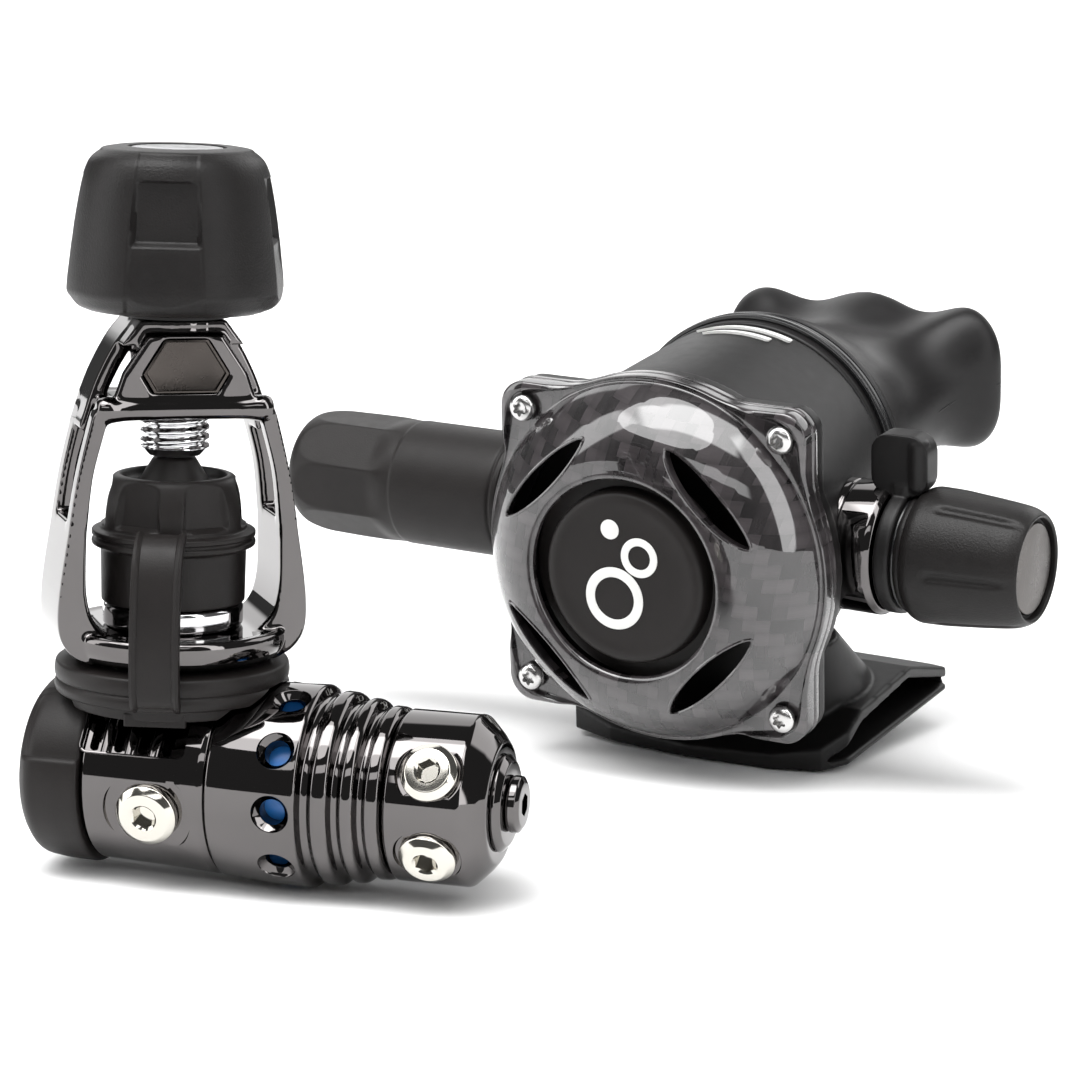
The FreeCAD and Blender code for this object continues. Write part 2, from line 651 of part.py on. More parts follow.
def yoke_knob():
    outline = [
        ("screw_radius", "knob_bottom"), (18.4, "knob_bottom"), (21.6, "knob_bottom + 1.4"),
        ("knob_radius", "knob_rim"), ("knob_radius - 0.9", "knob_rim + 8"),
        ("knob_radius - 3.9", "knob_top - 5.4"),
        ("knob_radius - 5.4", "knob_top - 2.6"), ("knob_radius - 8.4", "knob_top - 0.6"),
        ("knob_radius - 10.9", "knob_top"), (10, "knob_top"), (10, "knob_top - 1.2"),
        (0, "knob_top - 1.2"), (0, "knob_bottom + 6"), ("screw_radius", "knob_bottom + 6"),
    ]
    scallop = prism(4, 9, 16, at=(0, -29.3, "knob_rim + 9"))
    grips = around(scallop, 4, Z, first=size["strap_turn"] + 2)
    return first_node("yoke_knob", cut(lathe(outline), grips))


def knob_emblem():
    return first_node("knob_emblem", cylinder(9.8, 0.8, at=(0, 0, "knob_top - 1.2")))


# ---------------------------------------------------------------- second stage
def second_node(label, thing):
    return node(label, thing, SECOND)


def on_barrel(thing):
    """Shift a piece modelled about X onto the valve barrel's axis."""
    return moved(thing, at=(0, size["barrel_depth"], size["barrel_rise"]))


def tube(outer, inner, low, high):
    """A plain tube along X between two places."""
    return lathe([(inner, low), (outer, low), (outer, high), (inner, high)], along=X)


def plan_oval(half_x, half_y, y, rise):
    thing = doc.addObject("Part::Ellipse", "oval")
    set_sizes(thing, MajorRadius=half_x, MinorRadius=half_y)
    return put_at(thing, (0, y, rise))


def front_plate(trim, low, high):
    """A round plate with four ears, between two depths."""
    half = f"ear_half - {trim}"
    disc = cylinder(f"cover_radius - {trim}", f"({high}) - ({low})", at=(0, low, 0), along=Y)
    thick = f"({high}) - ({low})"
    wide = block(f"2 * ({half})", thick, "2 * screw_half", at=(f"-({half})", low, "-screw_half"))
    tall = block("2 * screw_half", thick, f"2 * ({half})", at=("-screw_half", low, f"-({half})"))
    ears = four_corners(cylinder(f"{half} - screw_half", thick, at=(0, low, 0), along=Y))
    return fuse(disc, wide, tall, ears)


def four_corners(thing):
    """A piece modelled on the Y axis, repeated at the four cover screws."""
    half = size["screw_half"]
    return fuse(*[moved(thing, at=(x * half, 0, z * half)) for x in (-1, 1) for z in (-1, 1)])


def front_cover():
    dome = lathe([
        ("purge_opening", "dome_front + 0.8"), ("purge_opening + 0.8", "dome_front"),
        (29.5, "dome_front + 0.7"),
        (34.5, "dome_front + 3.2"), (39.0, "dome_front + 7.4"), (42.4, "dome_front + 12.6"),
        (43.4, "dome_front + 15.4"), ("cover_radius", "dome_front + 16.4"), ("cover_radius", "cover_back"),
        (41.4, "cover_back"), (41.4, -1.2), (37.4, -8.2), (32.8, -12.0), (28.4, -13.8),
        ("purge_opening", -14.2),
    ], along=Y)
    hollow = cylinder(41.4, 20, at=(0, -1.2, 0), along=Y)
    plate = cut(front_plate("0", "-1.5", "cover_back"), hollow, cylinder(42, 10, at=(0, -9, 0), along=Y))
    straight = "vent_length - vent_width"
    capsule = fuse(
        block(straight, 30, "vent_width", at=(f"-({straight}) / 2", -30, "vent_radius - vent_width / 2")),
        cylinder("vent_width / 2", 30, at=(f"-({straight}) / 2", 0, "vent_radius"), along=-Y),
        cylinder("vent_width / 2", 30, at=(f"({straight}) / 2", 0, "vent_radius"), along=-Y),
    )
    vents = around(capsule, 4, Y, first=45)
    holes = four_corners(cylinder(2, 12, at=(0, -4, 0), along=Y))
    return second_node("front_cover", cut(fuse(dome, plate), vents, holes))


def cover_screws():
    head = cylinder(3.4, 1.5, at=(0, -3.1, 0), along=Y)
    rim = cone(3.4, 2.6, 0.6, at=(0, -3.1, 0), along=-Y)
    shank = cylinder(1.9, 10, at=(0, -1.6, 0), along=Y)
    socket = prism(6, 1.7, 1.6, at=(0, -3.9, 0), along=Y)
    return second_node("cover_screws", four_corners(cut(fuse(head, rim, shank), socket)))


def purge_button():
    body = lathe([
        (0, "purge_front + 1"), (18, "purge_front + 1"), (18.6, "purge_front"),
        ("purge_radius - 0.8", "purge_front"),
        ("purge_radius", "purge_front + 0.8"), ("purge_radius", -11.2), (25.4, -11.2), (25.4, -9.8), (4, -9.8),
        (4, -0.3), (0, -0.3),
    ], along=Y)
    return second_node("purge_button", body)


def purge_emblem():
    """Three rising bubbles, of which the smallest is solid."""
    rings = [
        moved(lathe([
            (inner, "purge_front + 0.3"), (outer, "purge_front + 0.3"), (outer, "purge_front + 1"),
            (inner, "purge_front + 1"),
        ], along=Y), at=(x, 0, z))
        for outer, inner, x, z in ((7.6, 5.2, -2.6, -5.2), (4.8, 2.9, 4.2, 5.6))
    ]
    dot = moved(cylinder(2.4, 0.7, at=(0, "purge_front + 0.3", 0), along=Y), at=(-3.4, 0, 11.6))
    return second_node("purge_emblem", fuse(*rings, dot))


def purge_spring():
    return second_node("purge_spring", spring(6.2, 0.5, 2.0, 5.2, at=(0, -9.1, 0), along=Y))


def purge_guide():
    rim = lathe([(35, -2.6), (39.6, -2.6), (39.6, -1.3), (35, -1.3)], along=Y)
    hub = lathe([(4.4, -2.6), (9, -2.6), (9, -1.3), (4.4, -1.3)], along=Y)
    arm = block(28, 1.3, 5, at=(8.5, -2.6, -2.5))
    return second_node("purge_guide", fuse(rim, hub, around(arm, 3, Y, first=30)))


def diaphragm():
    return second_node("diaphragm", lathe([(15, 1.2), (41.2, 1.2), (41.2, 2.2), (15, 2.2)], along=Y))


def diaphragm_ring():
    return second_node("diaphragm_ring", lathe([(38, 2.3), (41.2, 2.3), (41.2, 5.1), (38, 5.1)], along=Y))


def diaphragm_plate():
    return second_node("diaphragm_plate", cylinder(14.2, 2.3, at=(0, 0.2, 0), along=Y))


def demand_lever():
    arm = slab(
        [(-12, 16), (-12, 14), (-8, 12.6), (7, 3.0), (10, 3.0), (10, 4.2), (7.6, 4.6), (-7, 14.2), (-8, 16)],
        "barrel_rise - 2.5", "barrel_rise + 2.5",
    )
    pivot = cylinder(1.1, 8, at=(-10, 15, "barrel_rise - 4"))
    return second_node("demand_lever", fuse(arm, pivot))


def drum_shape(gap):
    """The case behind its front plate, larger by a gap."""
    front, back = f"case_radius + {gap}", f"back_radius + {gap}"
    return loft([
        oval(front, front, "case_front + 4.2", 0),
        oval(back, back, f"case_back + {gap}", "back_rise"),
    ])


def case():
    plate = front_plate("0.5", "case_front", "case_front + 4.2")
    drum = drum_shape("0")
    inside = loft([
        oval("case_radius - wall", "case_radius - wall", "case_front + 4", 0),
        oval("back_radius - wall", "back_radius - wall", "case_back - wall", "back_rise"),
    ])
    recess = cylinder("case_radius - wall", 12, at=(0, "case_front - 8", 0), along=Y)
    sides = on_barrel(cylinder("boss_outer", "boss_right - boss_left", at=("boss_left", 0, 0), along=X))
    neck = cylinder(17, 26, at=(0, 30, -46), along=Z)
    spigot_length = "spigot_back - case_back + 1"
    spigot = cylinder("spigot_radius", spigot_length, at=(0, "case_back - 1", "mouth_rise"), along=Y)
    mouth = cylinder("spigot_radius - 2.6", 40, at=(0, "case_back - 5", "mouth_rise"), along=Y)
    exhaust = cylinder(14.6, 30, at=(0, 30, -47), along=Z)
    bores = on_barrel(fuse(
        cylinder("tube_radius + 0.1", 60, at=(-60, 0, 0), along=X),
        cylinder("tube_radius + 1.8", 40, at=(10, 0, 0), along=X),
    ))
    holes = four_corners(cylinder(1.95, 12, at=(0, 0, 0), along=Y))
    whole = cut(fuse(plate, drum, sides, neck, spigot), inside, recess, mouth, exhaust, bores, holes)
    return second_node("case", whole)


def valve_barrel():
    body = cut(tube("tube_radius", "tube_bore", -44, 55.2), block(12, 14, 8, at=(-14, -14, -4)))
    outlet = block(14, 20, 8, at=(8, 4, -4))
    return second_node("valve_barrel", on_barrel(cut(body, outlet)))


def inlet_nipple():
    body = lathe([(4, -58), (7.1, -58), (7.1, -50), (9.7, -50), (9.7, -44.1), (4, -44.1)], along=X)
    return second_node("inlet_nipple", on_barrel(body))


def orifice_seat():
    return second_node("orifice_seat", on_barrel(tube("tube_bore - 0.05", 2, -43.9, -30)))


def poppet():
    body = lathe([(0, -29.8), (3.4, -29.8), (5.5, -27), (5.5, -12), (0, -12)], along=X)
    return second_node("poppet", on_barrel(body))


def poppet_spring():
    return second_node("poppet_spring", on_barrel(spring(4.8, 0.6, 3.4, 21.4, at=(-11.2, 0, 0), along=X)))


def adjuster():
    piston_radius = "tube_bore - 0.1"
    body = lathe([(0, 12), (piston_radius, 12), (piston_radius, 21), (3, 22), (3, 62), (0, 62)], along=X)
    return second_node("adjuster", on_barrel(body))


def adjust_knob():
    body = lathe([
        (3.4, "knob_left"), (14.8, "knob_left"), ("adjust_radius", "knob_left + 2.4"),
        ("adjust_radius - 0.2", "knob_left + 10"), ("adjust_end + 0.4", "knob_right - 5"),
        ("adjust_end - 0.8", "knob_right - 1.2"), (12.6, "knob_right"), (11.9, "knob_right"),
        (11.9, "knob_right - 2.2"), (0, "knob_right - 2.2"), (0, "knob_left + 9"), (3.4, "knob_left + 9"),
    ], along=X)
    flute = cylinder(2.2, 17, at=("knob_left + 8", 0, "adjust_radius + 1.2"), along=X)
    return second_node("adjust_knob", on_barrel(cut(body, around(flute, 6, X, first=15))))


def adjust_knob_disc():
    disc = cylinder(11.8, 1.2, at=("knob_right - 2.2", 0, 0), along=X)
    return second_node("adjust_knob_disc", on_barrel(disc))


def trim_collar():
    body = lathe([
        (11.6, "boss_right + 0.1"), (15.8, "boss_right + 0.1"), (15.8, "collar_right - 1.2"),
        (14.8, "collar_right"), (11.6, "collar_right"),
    ], along=X)
    return second_node("trim_collar", cut(on_barrel(body), drum_shape("0.1")))


def venturi_lever():
    hoop = tube(14.6, "tube_radius + 0.3", "collar_right + 0.4", "collar_right + 4.4")
    neck = block(4, 8, 6, at=("collar_right + 0.4", -4, 13))
    paddle = block(15, 7, 15, at=("collar_right - 5.4", -3.5, 17.2))
    edge = cylinder(11.2, 8, at=("collar_right + 2.1", -4, 21.6), along=Y)
    return second_node("venturi_lever", on_barrel(fuse(hoop, neck, common(paddle, edge))))


def air_vane():
    sleeve = tube("tube_radius + 1.5", "tube_radius + 0.3", 20, "collar_right + 0.3")
    tongue = block(8, 10, 2, at=(20, "tube_radius + 0.8", -1))
    return second_node("air_vane", on_barrel(fuse(sleeve, tongue)))


def exhaust_valve():
    return second_node("exhaust_valve", cylinder(14.5, 1, at=(0, 30, -41)))


def exhaust_tee():
    def side(outline):
        """An outline across X, right through the tee."""
        sketch = doc.addObject("Sketcher::SketchObject", "side")
        sketch.Placement = Placement(Vector(0, 0, 0), Rotation(Vector(1, 1, 1), 120))
        draw(sketch, outline)
        sketch.setExpression("Placement.Base.x", bound("-tee_half - 10"))
        return extrude(sketch, X, "2 * tee_half + 20")

    wing = side([
        (12, "tee_bottom"), (12.6, "tee_bottom + 3"), (33, "tee_bottom + 11.9"), (62, "tee_bottom + 13.6"),
        ("tee_back - 2", "tee_bottom + 5"), ("tee_back", "tee_bottom + 3"), ("tee_back", "tee_bottom"),
    ])
    plan = slab(
        [
            ("-tee_half", 26), ("4 - tee_half", 19), ("16 - tee_half", 15), (0, 13.4),
            ("tee_half - 16", 15), ("tee_half - 4", 19), ("tee_half", 26), ("tee_half", "tee_back - 6"),
            ("tee_half - 8", "tee_back"), ("8 - tee_half", "tee_back"), ("-tee_half", "tee_back - 6"),
        ],
        "tee_bottom - 1", "tee_bottom + 20",
    )
    outlet = side([
        (19, "tee_bottom + 1.8"), (34, "tee_bottom + 8.6"), (61, "tee_bottom + 10.8"),
        ("tee_back - 5", "tee_bottom + 3.2"), ("tee_back - 5", "tee_bottom + 1.8"),
    ])
    saddle = loft([plan_oval(31, 18.5, 32, -26), plan_oval(35, 30, 45, "tee_bottom + 9")])
    throat = cylinder(17.1, 40, at=(0, 30, "tee_bottom + 8"))
    shell = fuse(common(wing, plan), saddle)
    return second_node("exhaust_tee", cut(shell, outlet, throat, drum_shape("0.1")))


def mouthpiece():
    base_length = "spigot_back - case_back + 1"
    base = cylinder("spigot_radius + 3", base_length, at=(0, "case_back + 0.2", "mouth_rise"), along=Y)
    body = loft([
        oval("spigot_radius + 3", "spigot_radius + 3", "spigot_back + 1", "mouth_rise"),
        oval(34, 29, 70, 14), oval(32.5, 22, 82, 18.5), oval(34, 18.5, 94, "shield_rise - 2"),
        oval(39, 20.4, "shield_front", "shield_rise"),
    ])
    shield = loft([
        oval(39, 20.4, "shield_front", "shield_rise"), oval(38, 19.6, "shield_back", "shield_rise + 0.6"),
    ], ruled=True)
    socket = cylinder("spigot_radius + 0.1", 20, at=(0, "spigot_back - 19.9", "mouth_rise"), along=Y)
    airway = loft([
        oval(30, 30, "spigot_back - 0.5", "mouth_rise"), oval(26, 15, 80, 17.5),
        oval(19, 8.5, "shield_back + 1", "shield_rise"),
    ])
    bites = [
        block(9, 15, 4, at=(x, "shield_back - 0.5", "shield_rise - 2")) for x in (-31, 22)
    ]
    return second_node("mouthpiece", cut(fuse(base, body, shield, *bites), socket, airway))


def mouthpiece_clamp():
    outline = [
        ("spigot_radius + 3.1", 53), ("spigot_radius + 4.2", 53.4), ("spigot_radius + 4.2", 57),
        ("spigot_radius + 3.1", 57.4),
    ]
    return second_node("mouthpiece_clamp", moved(lathe(outline, along=Y), at=(0, 0, size["mouth_rise"])))


def hose_swivel_nut():
    hexagon = prism(6, 10.2, 8, at=(-64, 0, 0), along=X)
    collar = cylinder(9, 13.6, at=(-64, 0, 0), along=X)
    socket = cylinder("7.1 + running_gap", 20, at=(-58.6, 0, 0), along=X)
    hole = cylinder(4.85, 20, at=(-70, 0, 0), along=X)
    return second_node("hose_swivel_nut", on_barrel(cut(fuse(hexagon, collar), socket, hole)))


def hose_stem():
    body = lathe([
        (3, -82), (4.3, -82), (4.8, -80), (4.8, -58.3), (3, -58.3),
    ], along=X)
    return second_node("hose_stem", on_barrel(body))


def hose_sleeve():
    grip = prism(8, 16.0, 26, at=("sleeve_left", 0, 0), along=X, turn=22.5)
    outer = lathe([
        (0, "sleeve_left"), (12.6, "sleeve_left"), (15.4, "sleeve_left + 5"), (15.6, "sleeve_left + 26"),
        ("sleeve_radius", "sleeve_left + 31"), ("sleeve_radius", "sleeve_right - 1"),
        ("sleeve_radius - 0.8", "sleeve_right"), (0, "sleeve_right"),
    ], along=X)
    plain_length = "sleeve_right - sleeve_left - 26"
    plain = cylinder("sleeve_radius + 1", plain_length, at=("sleeve_left + 26", 0, 0), along=X)
    hose = cylinder("hose_bore", 40, at=("sleeve_left - 5", 0, 0), along=X)
    room = cylinder(12.6, "sleeve_right + 84.5", at=(-84, 0, 0), along=X)
    return second_node("hose_sleeve", on_barrel(cut(common(outer, fuse(grip, plain)), hose, room)))


# ---------------------------------------------------------------- build, check and write
PIECES = [
    first_stage_body, body_protector, high_pressure_seat_retainer, high_pressure_seat, piston,
    main_spring, insulating_bushing, piston_cap, turret_bolt, swivel_turret, low_pressure_port_plugs,
    turret_end_fitting, end_port_plug, high_pressure_port_plug, inlet_fitting, inlet_filter,
    filter_clip, yoke, yoke_badge, dust_cap, dust_cap_strap, yoke_screw, screw_washer, yoke_knob,
    knob_emblem, case, front_cover, cover_screws, purge_button, purge_emblem, purge_spring, purge_guide,
    diaphragm, diaphragm_ring, diaphragm_plate, demand_lever, valve_barrel, inlet_nipple, orifice_seat,
    poppet, poppet_spring, adjuster, adjust_knob, adjust_knob_disc, trim_collar, venturi_lever,
    air_vane, exhaust_valve, exhaust_tee, mouthpiece, mouthpiece_clamp, hose_swivel_nut, hose_stem,
    hose_sleeve,
]
for piece in PIECES:
    piece()
doc.recompute()

failed = [item.Name for item in doc.Objects if {"Invalid", "Error"} & set(item.State)]
if failed:
    raise RuntimeError(f"objects that did not build: {failed}")
for label, item in nodes.items():
    if item.Shape.isNull() or not item.Shape.isValid() or not item.Shape.Solids:
        raise RuntimeError(f"{label} is not a valid solid")

os.makedirs("parts", exist_ok=True)
for label, item in nodes.items():
    item.Shape.exportStep(f"parts/{label}.step")
    print(f"{label}: {len(item.Shape.Solids)} solid(s), {item.Shape.Volume:.0f} mm3")
whole = Part.makeCompound([item.Shape for item in nodes.values()]).BoundBox
print("lowest corner", whole.XMin, whole.YMin, whole.ZMin)
print("highest corner", whole.XMax, whole.YMax, whole.ZMax)
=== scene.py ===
"""Scuba regulator set: the looks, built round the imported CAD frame.

Pieces are drawn in millimetres in a frame of their own (the first stage's, its barrel's, the yoke's, the
second stage's, its cover's or its valve barrel's), and one matrix per frame takes them to the row frame.
"""
import json
import math

import bmesh
import bpy
from mathutils import Matrix, Vector


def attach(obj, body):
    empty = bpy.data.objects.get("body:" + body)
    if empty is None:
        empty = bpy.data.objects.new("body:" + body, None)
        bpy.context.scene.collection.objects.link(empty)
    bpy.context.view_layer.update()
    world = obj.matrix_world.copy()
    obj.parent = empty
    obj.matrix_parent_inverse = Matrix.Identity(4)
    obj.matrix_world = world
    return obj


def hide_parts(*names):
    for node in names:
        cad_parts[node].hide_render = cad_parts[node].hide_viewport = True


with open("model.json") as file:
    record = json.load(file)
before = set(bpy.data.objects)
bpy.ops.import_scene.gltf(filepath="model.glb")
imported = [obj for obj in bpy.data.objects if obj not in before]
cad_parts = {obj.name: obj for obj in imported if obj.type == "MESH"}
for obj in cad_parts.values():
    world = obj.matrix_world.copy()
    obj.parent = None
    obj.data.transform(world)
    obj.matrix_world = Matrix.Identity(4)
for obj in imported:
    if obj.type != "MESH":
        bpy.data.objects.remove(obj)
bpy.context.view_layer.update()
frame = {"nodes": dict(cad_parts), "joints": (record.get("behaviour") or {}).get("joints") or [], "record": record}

MM = 0.001
JOINTS = {joint["name"]: joint for joint in frame["joints"]}
BODY_OF = {node: body for body, nodes in frame["record"]["behaviour"]["bodies"].items() for node in nodes}
SLOT_OF = {part["node"]: part["material_slot"] for part in frame["record"]["subparts"]}

# ------------------------ frames, from the record's joints
BARREL_DEPTH = 26.0   # the second stage's valve barrel, behind the cover's screw plane
BARREL_RISE = 1.8     # and above the cover's middle
COLLAR_RIGHT = 50.3   # right end of its trim collar
YOKE_TURN = 33.0      # turn of the yoke about its axis, in degrees
STRAP_TURN = 12.8     # direction of the dust cap's strap, from the front towards the right
KNOB_FACING = 14.5    # direction of one of the yoke knob's panels
CAP_FACING = 48.8     # direction of one of the dust cap's panels
SCREW_HALF = 34.0     # the cover's screws, from its middle, each way
ROW_X, ROW_Y, ROW_Z = Vector((1, 0, 0)), Vector((0, 1, 0)), Vector((0, 0, 1))


def frame_matrix(origin, x, y, z):
    """From millimetres along three unit axes to the row frame's metres."""
    turn = Matrix((x, y, z)).transposed().to_4x4()
    return Matrix.Translation(origin) @ turn @ Matrix.Scale(MM, 4)


yoke_axis = Vector(JOINTS["yoke_knob_turn"]["pos_m"])
barrel_axis = Vector(JOINTS["turret_swivel"]["pos_m"])
second_x = Vector(JOINTS["adjust_knob_turn"]["axis"])
second_y = Vector(JOINTS["purge_press"]["axis"])
second_z = Vector(JOINTS["demand_lever_tilt"]["axis"])
valve_axis = Vector(JOINTS["venturi_lever_turn"]["pos_m"]) - MM * COLLAR_RIGHT * second_x
first_origin = Vector((yoke_axis.x, yoke_axis.y, 0))
barrel_origin = Vector((yoke_axis.x, yoke_axis.y, barrel_axis.z))
second_origin = valve_axis - MM * (BARREL_DEPTH * second_y + BARREL_RISE * second_z)


def at(x, y, z):
    return Matrix.Translation((x, y, z))


def about(axis, degrees):
    return Matrix.Rotation(math.radians(degrees), 4, axis)


FIRST = frame_matrix(first_origin, ROW_X, ROW_Y, ROW_Z)
YOKE = FIRST @ about("Z", YOKE_TURN)
BARREL = frame_matrix(barrel_origin, ROW_Y, ROW_Z, ROW_X)            # local Z along the barrel
SECOND = frame_matrix(second_origin, second_x, second_y, second_z)
COVER = frame_matrix(second_origin, second_z, second_x, second_y)    # local Z into the case
VALVE = frame_matrix(valve_axis, second_y, second_z, second_x)       # local Z along the valve barrel


# ------------------------ materials
class Nodes:
    """A short way to write the node tree of a material or a world."""

    def __init__(self, owner, last="Principled BSDF"):
        owner.use_nodes = True
        self.owner = owner
        self.tree = owner.node_tree
        self.last = self.tree.nodes[last]

    def add(self, kind, **inputs):
        node = self.tree.nodes.new("ShaderNode" + kind)
        for key, value in inputs.items():
            self.put(node, key, value)
        return node

    def put(self, node, key, value):
        """Set or link an input, which is named by its label or, as i0, i1 and so on, by its place."""
        socket = node.inputs[int(key[1:]) if key[1:].isdigit() else key.replace("_", " ")]
        if isinstance(value, bpy.types.NodeSocket):
            self.tree.links.new(value, socket)
        else:
            socket.default_value = value

    def look(self, **inputs):
        """Set or link inputs of the tree's last shader."""
        for key, value in inputs.items():
            self.put(self.last, key, value)

    def math(self, operation, a, b=0.0):
        node = self.add("Math", i0=a, i1=b)
        node.operation = operation
        return node.outputs[0]

    def noise(self, coords, scale, detail=3.0, roughness=0.5):
        return self.add("TexNoise", Vector=coords, Scale=scale, Detail=detail, Roughness=roughness).outputs[0]

    def spread(self, value, low, high):
        """Map a 0 to 1 value onto low to high."""
        return self.add("MapRange", Value=value, To_Min=low, To_Max=high).outputs[0]

    def between(self, factor, a, b):
        ramp = self.add("ValToRGB", Fac=factor)
        ramp.color_ramp.elements[0].color = (*a, 1)
        ramp.color_ramp.elements[1].color = (*b, 1)
        return ramp.outputs[0]

    def bump(self, height, distance, strength=1.0):
        """A relief whose height is in metres at its highest."""
        self.look(Normal=self.add("Bump", Height=height, Distance=distance, Strength=strength).outputs[0])

    def coords(self):
        return self.add("TexCoord").outputs["Object"]


def metal(name, light, dark, low_roughness, high_roughness, brushed=0.0):
    """Plated metal: a slightly uneven tint, and faint smears in its gloss."""
    n = Nodes(bpy.data.materials.new(name))
    at_point = n.coords()
    roughness = n.spread(n.noise(at_point, 220, 5, 0.6), low_roughness, high_roughness)
    n.look(Metallic=1.0, Base_Color=n.between(n.noise(at_point, 60, 2), dark, light), Roughness=roughness)
    if brushed:
        n.bump(n.noise(at_point, 2600, 2), brushed)
    return n.owner


def moulded(name, light, dark, roughness, grain, grain_scale, specular=0.5):
    """Moulded plastic or rubber: fine grain, and patches that are a little lighter and duller."""
    n = Nodes(bpy.data.materials.new(name))
    at_point = n.coords()
    n.look(
        Base_Color=n.between(n.noise(at_point, 90, 4, 0.6), dark, light),
        Roughness=n.spread(n.noise(at_point, 300, 4, 0.6), roughness - 0.06, roughness + 0.06),
        Specular_IOR_Level=specular,
    )
    n.bump(n.noise(at_point, grain_scale, 3, 0.6), grain)
    return n.owner


def carbon():
    """Twill-woven carbon under a thick clear coat, with painted sheen on the warp tows and painted shade along
    every tow's edges.
    """
    tow = 3.3 * MM
    n = Nodes(bpy.data.materials.new("carbon"))
    place = n.add("Mapping", Vector=n.coords())
    turn = about("Z", -9).to_3x3() @ COVER.inverted().to_3x3().normalized()
    place.inputs["Rotation"].default_value = turn.to_euler()
    split = n.add("SeparateXYZ", Vector=place.outputs[0])
    across = n.math("DIVIDE", split.outputs[0], tow)
    along = n.math("DIVIDE", split.outputs[1], tow * 0.8)
    column = n.math("FLOOR", across)
    row = n.math("FLOOR", along)
    step = n.math("FLOORED_MODULO", n.math("ADD", column, row), 4.0)
    warp = n.math("LESS_THAN", step, 1.5)
    in_column = n.math("FRACT", across)
    in_row = n.math("FRACT", along)

    def crown(value):
        """0 at a tow's edges, 1 along its middle."""
        return n.math("SINE", n.math("MULTIPLY", value, math.pi))

    height = n.add("Mix", i0=warp, i2=crown(in_row), i3=crown(in_column)).outputs[0]
    fibres = []
    for scale in ((300, 5200, 300), (5200, 300, 300)):
        stretched = n.add("Mapping", Vector=place.outputs[0])
        stretched.inputs["Scale"].default_value = scale
        fibres.append(n.noise(stretched.outputs[0], 1.0, 2))
    fibre = n.add("Mix", i0=warp, i2=fibres[0], i3=fibres[1]).outputs[0]
    cell = n.add("CombineXYZ", X=column, Y=row)
    patchy = n.add("TexWhiteNoise", Vector=cell.outputs[0]).outputs["Value"]
    # painted sheen: the warp tows are painted lighter than the weft, standing in for the fibres' directional
    # highlight; the lighter or darker cells are random tone, and the fibre streaks below are grain
    painted_light_and_tone = n.math("ADD", n.math("MULTIPLY", warp, 0.42), n.math("MULTIPLY", patchy, 0.34))
    painted_light_and_tone = n.math("MULTIPLY", n.math("ADD", painted_light_and_tone, 0.12), n.spread(fibre, 0.7, 1.15))
    # painted shade: each tow is painted darker towards its edges, where it dips under its neighbours
    painted_light_and_tone = n.math("MULTIPLY", painted_light_and_tone, n.spread(height, 0.72, 1.0))
    n.look(
        Base_Color=n.between(painted_light_and_tone, (0.003, 0.0027, 0.0028), (0.060, 0.052, 0.055)),
        Roughness=n.spread(fibre, 0.34, 0.5),
        Metallic=0.25,
        Coat_Weight=1.0,
        Coat_Roughness=0.015,
        Coat_IOR=1.75,
        Specular_IOR_Level=0.15,
    )
    n.bump(height, 0.00005, 0.5)
    return n.owner


# light tint, dark tint, lowest and highest roughness, and the height of the brushing if there is any
METALS = {
    "smoke_chrome": ((0.135, 0.128, 0.128), (0.11, 0.104, 0.103), 0.02, 0.05),
    "bright_chrome": ((0.72, 0.72, 0.73), (0.62, 0.62, 0.63), 0.05, 0.14),
    "graphite_plating": ((0.085, 0.076, 0.070), (0.035, 0.030, 0.028), 0.2, 0.38, 0.00003),
    "stainless": ((0.62, 0.61, 0.60), (0.5, 0.5, 0.5), 0.14, 0.3),
    "plated_brass": ((0.75, 0.71, 0.60), (0.62, 0.58, 0.48), 0.12, 0.26),
    "spring_steel": ((0.55, 0.55, 0.56), (0.42, 0.42, 0.43), 0.15, 0.3),
    "filter_bronze": ((0.62, 0.45, 0.26), (0.40, 0.27, 0.15), 0.45, 0.7, 0.00008),
    "silver_inlay": ((0.80, 0.80, 0.81), (0.66, 0.66, 0.68), 0.16, 0.3),
    "plug_plating": ((0.64, 0.62, 0.57), (0.55, 0.53, 0.48), 0.06, 0.14),    # the port plugs
}
# light tint, dark tint, roughness, height and fineness of the grain, and the strength of the gloss
MOULDINGS = {
    "black_rubber": ((0.0125, 0.0105, 0.010), (0.0065, 0.0054, 0.0052), 0.46, 0.00004, 2600, 0.22),
    "grey_rubber": ((0.015, 0.0128, 0.0122), (0.009, 0.0076, 0.0073), 0.46, 0.00003, 3200, 0.24),
    "silicone": ((0.011, 0.0102, 0.0105), (0.006, 0.0056, 0.0058), 0.4, 0.00002, 2500, 0.24),
    "black_plastic": ((0.008, 0.0074, 0.0075), (0.004, 0.0037, 0.0038), 0.42, 0.00003, 3600, 0.24),
    "gloss_black": ((0.010, 0.010, 0.0105), (0.006, 0.006, 0.0065), 0.18, 0.00001, 1800),
    "blue_plastic": ((0.02, 0.22, 0.66), (0.012, 0.15, 0.52), 0.32, 0.00001, 1800),
    "white_plastic": ((0.80, 0.80, 0.78), (0.70, 0.70, 0.68), 0.4, 0.00001, 1800),
    "grip_rubber": ((0.0095, 0.0082, 0.008), (0.0045, 0.0039, 0.0038), 0.4, 0.00010, 2200, 0.24),  # the knobs
}
MATERIALS = {name: metal(name, *look) for name, look in METALS.items()}
MATERIALS |= {name: moulded(name, *look) for name, look in MOULDINGS.items()}
MATERIALS["carbon_cover"] = carbon()
for node, thing in frame["nodes"].items():
    thing.data.materials.clear()
    thing.data.materials.append(MATERIALS[SLOT_OF[node]])


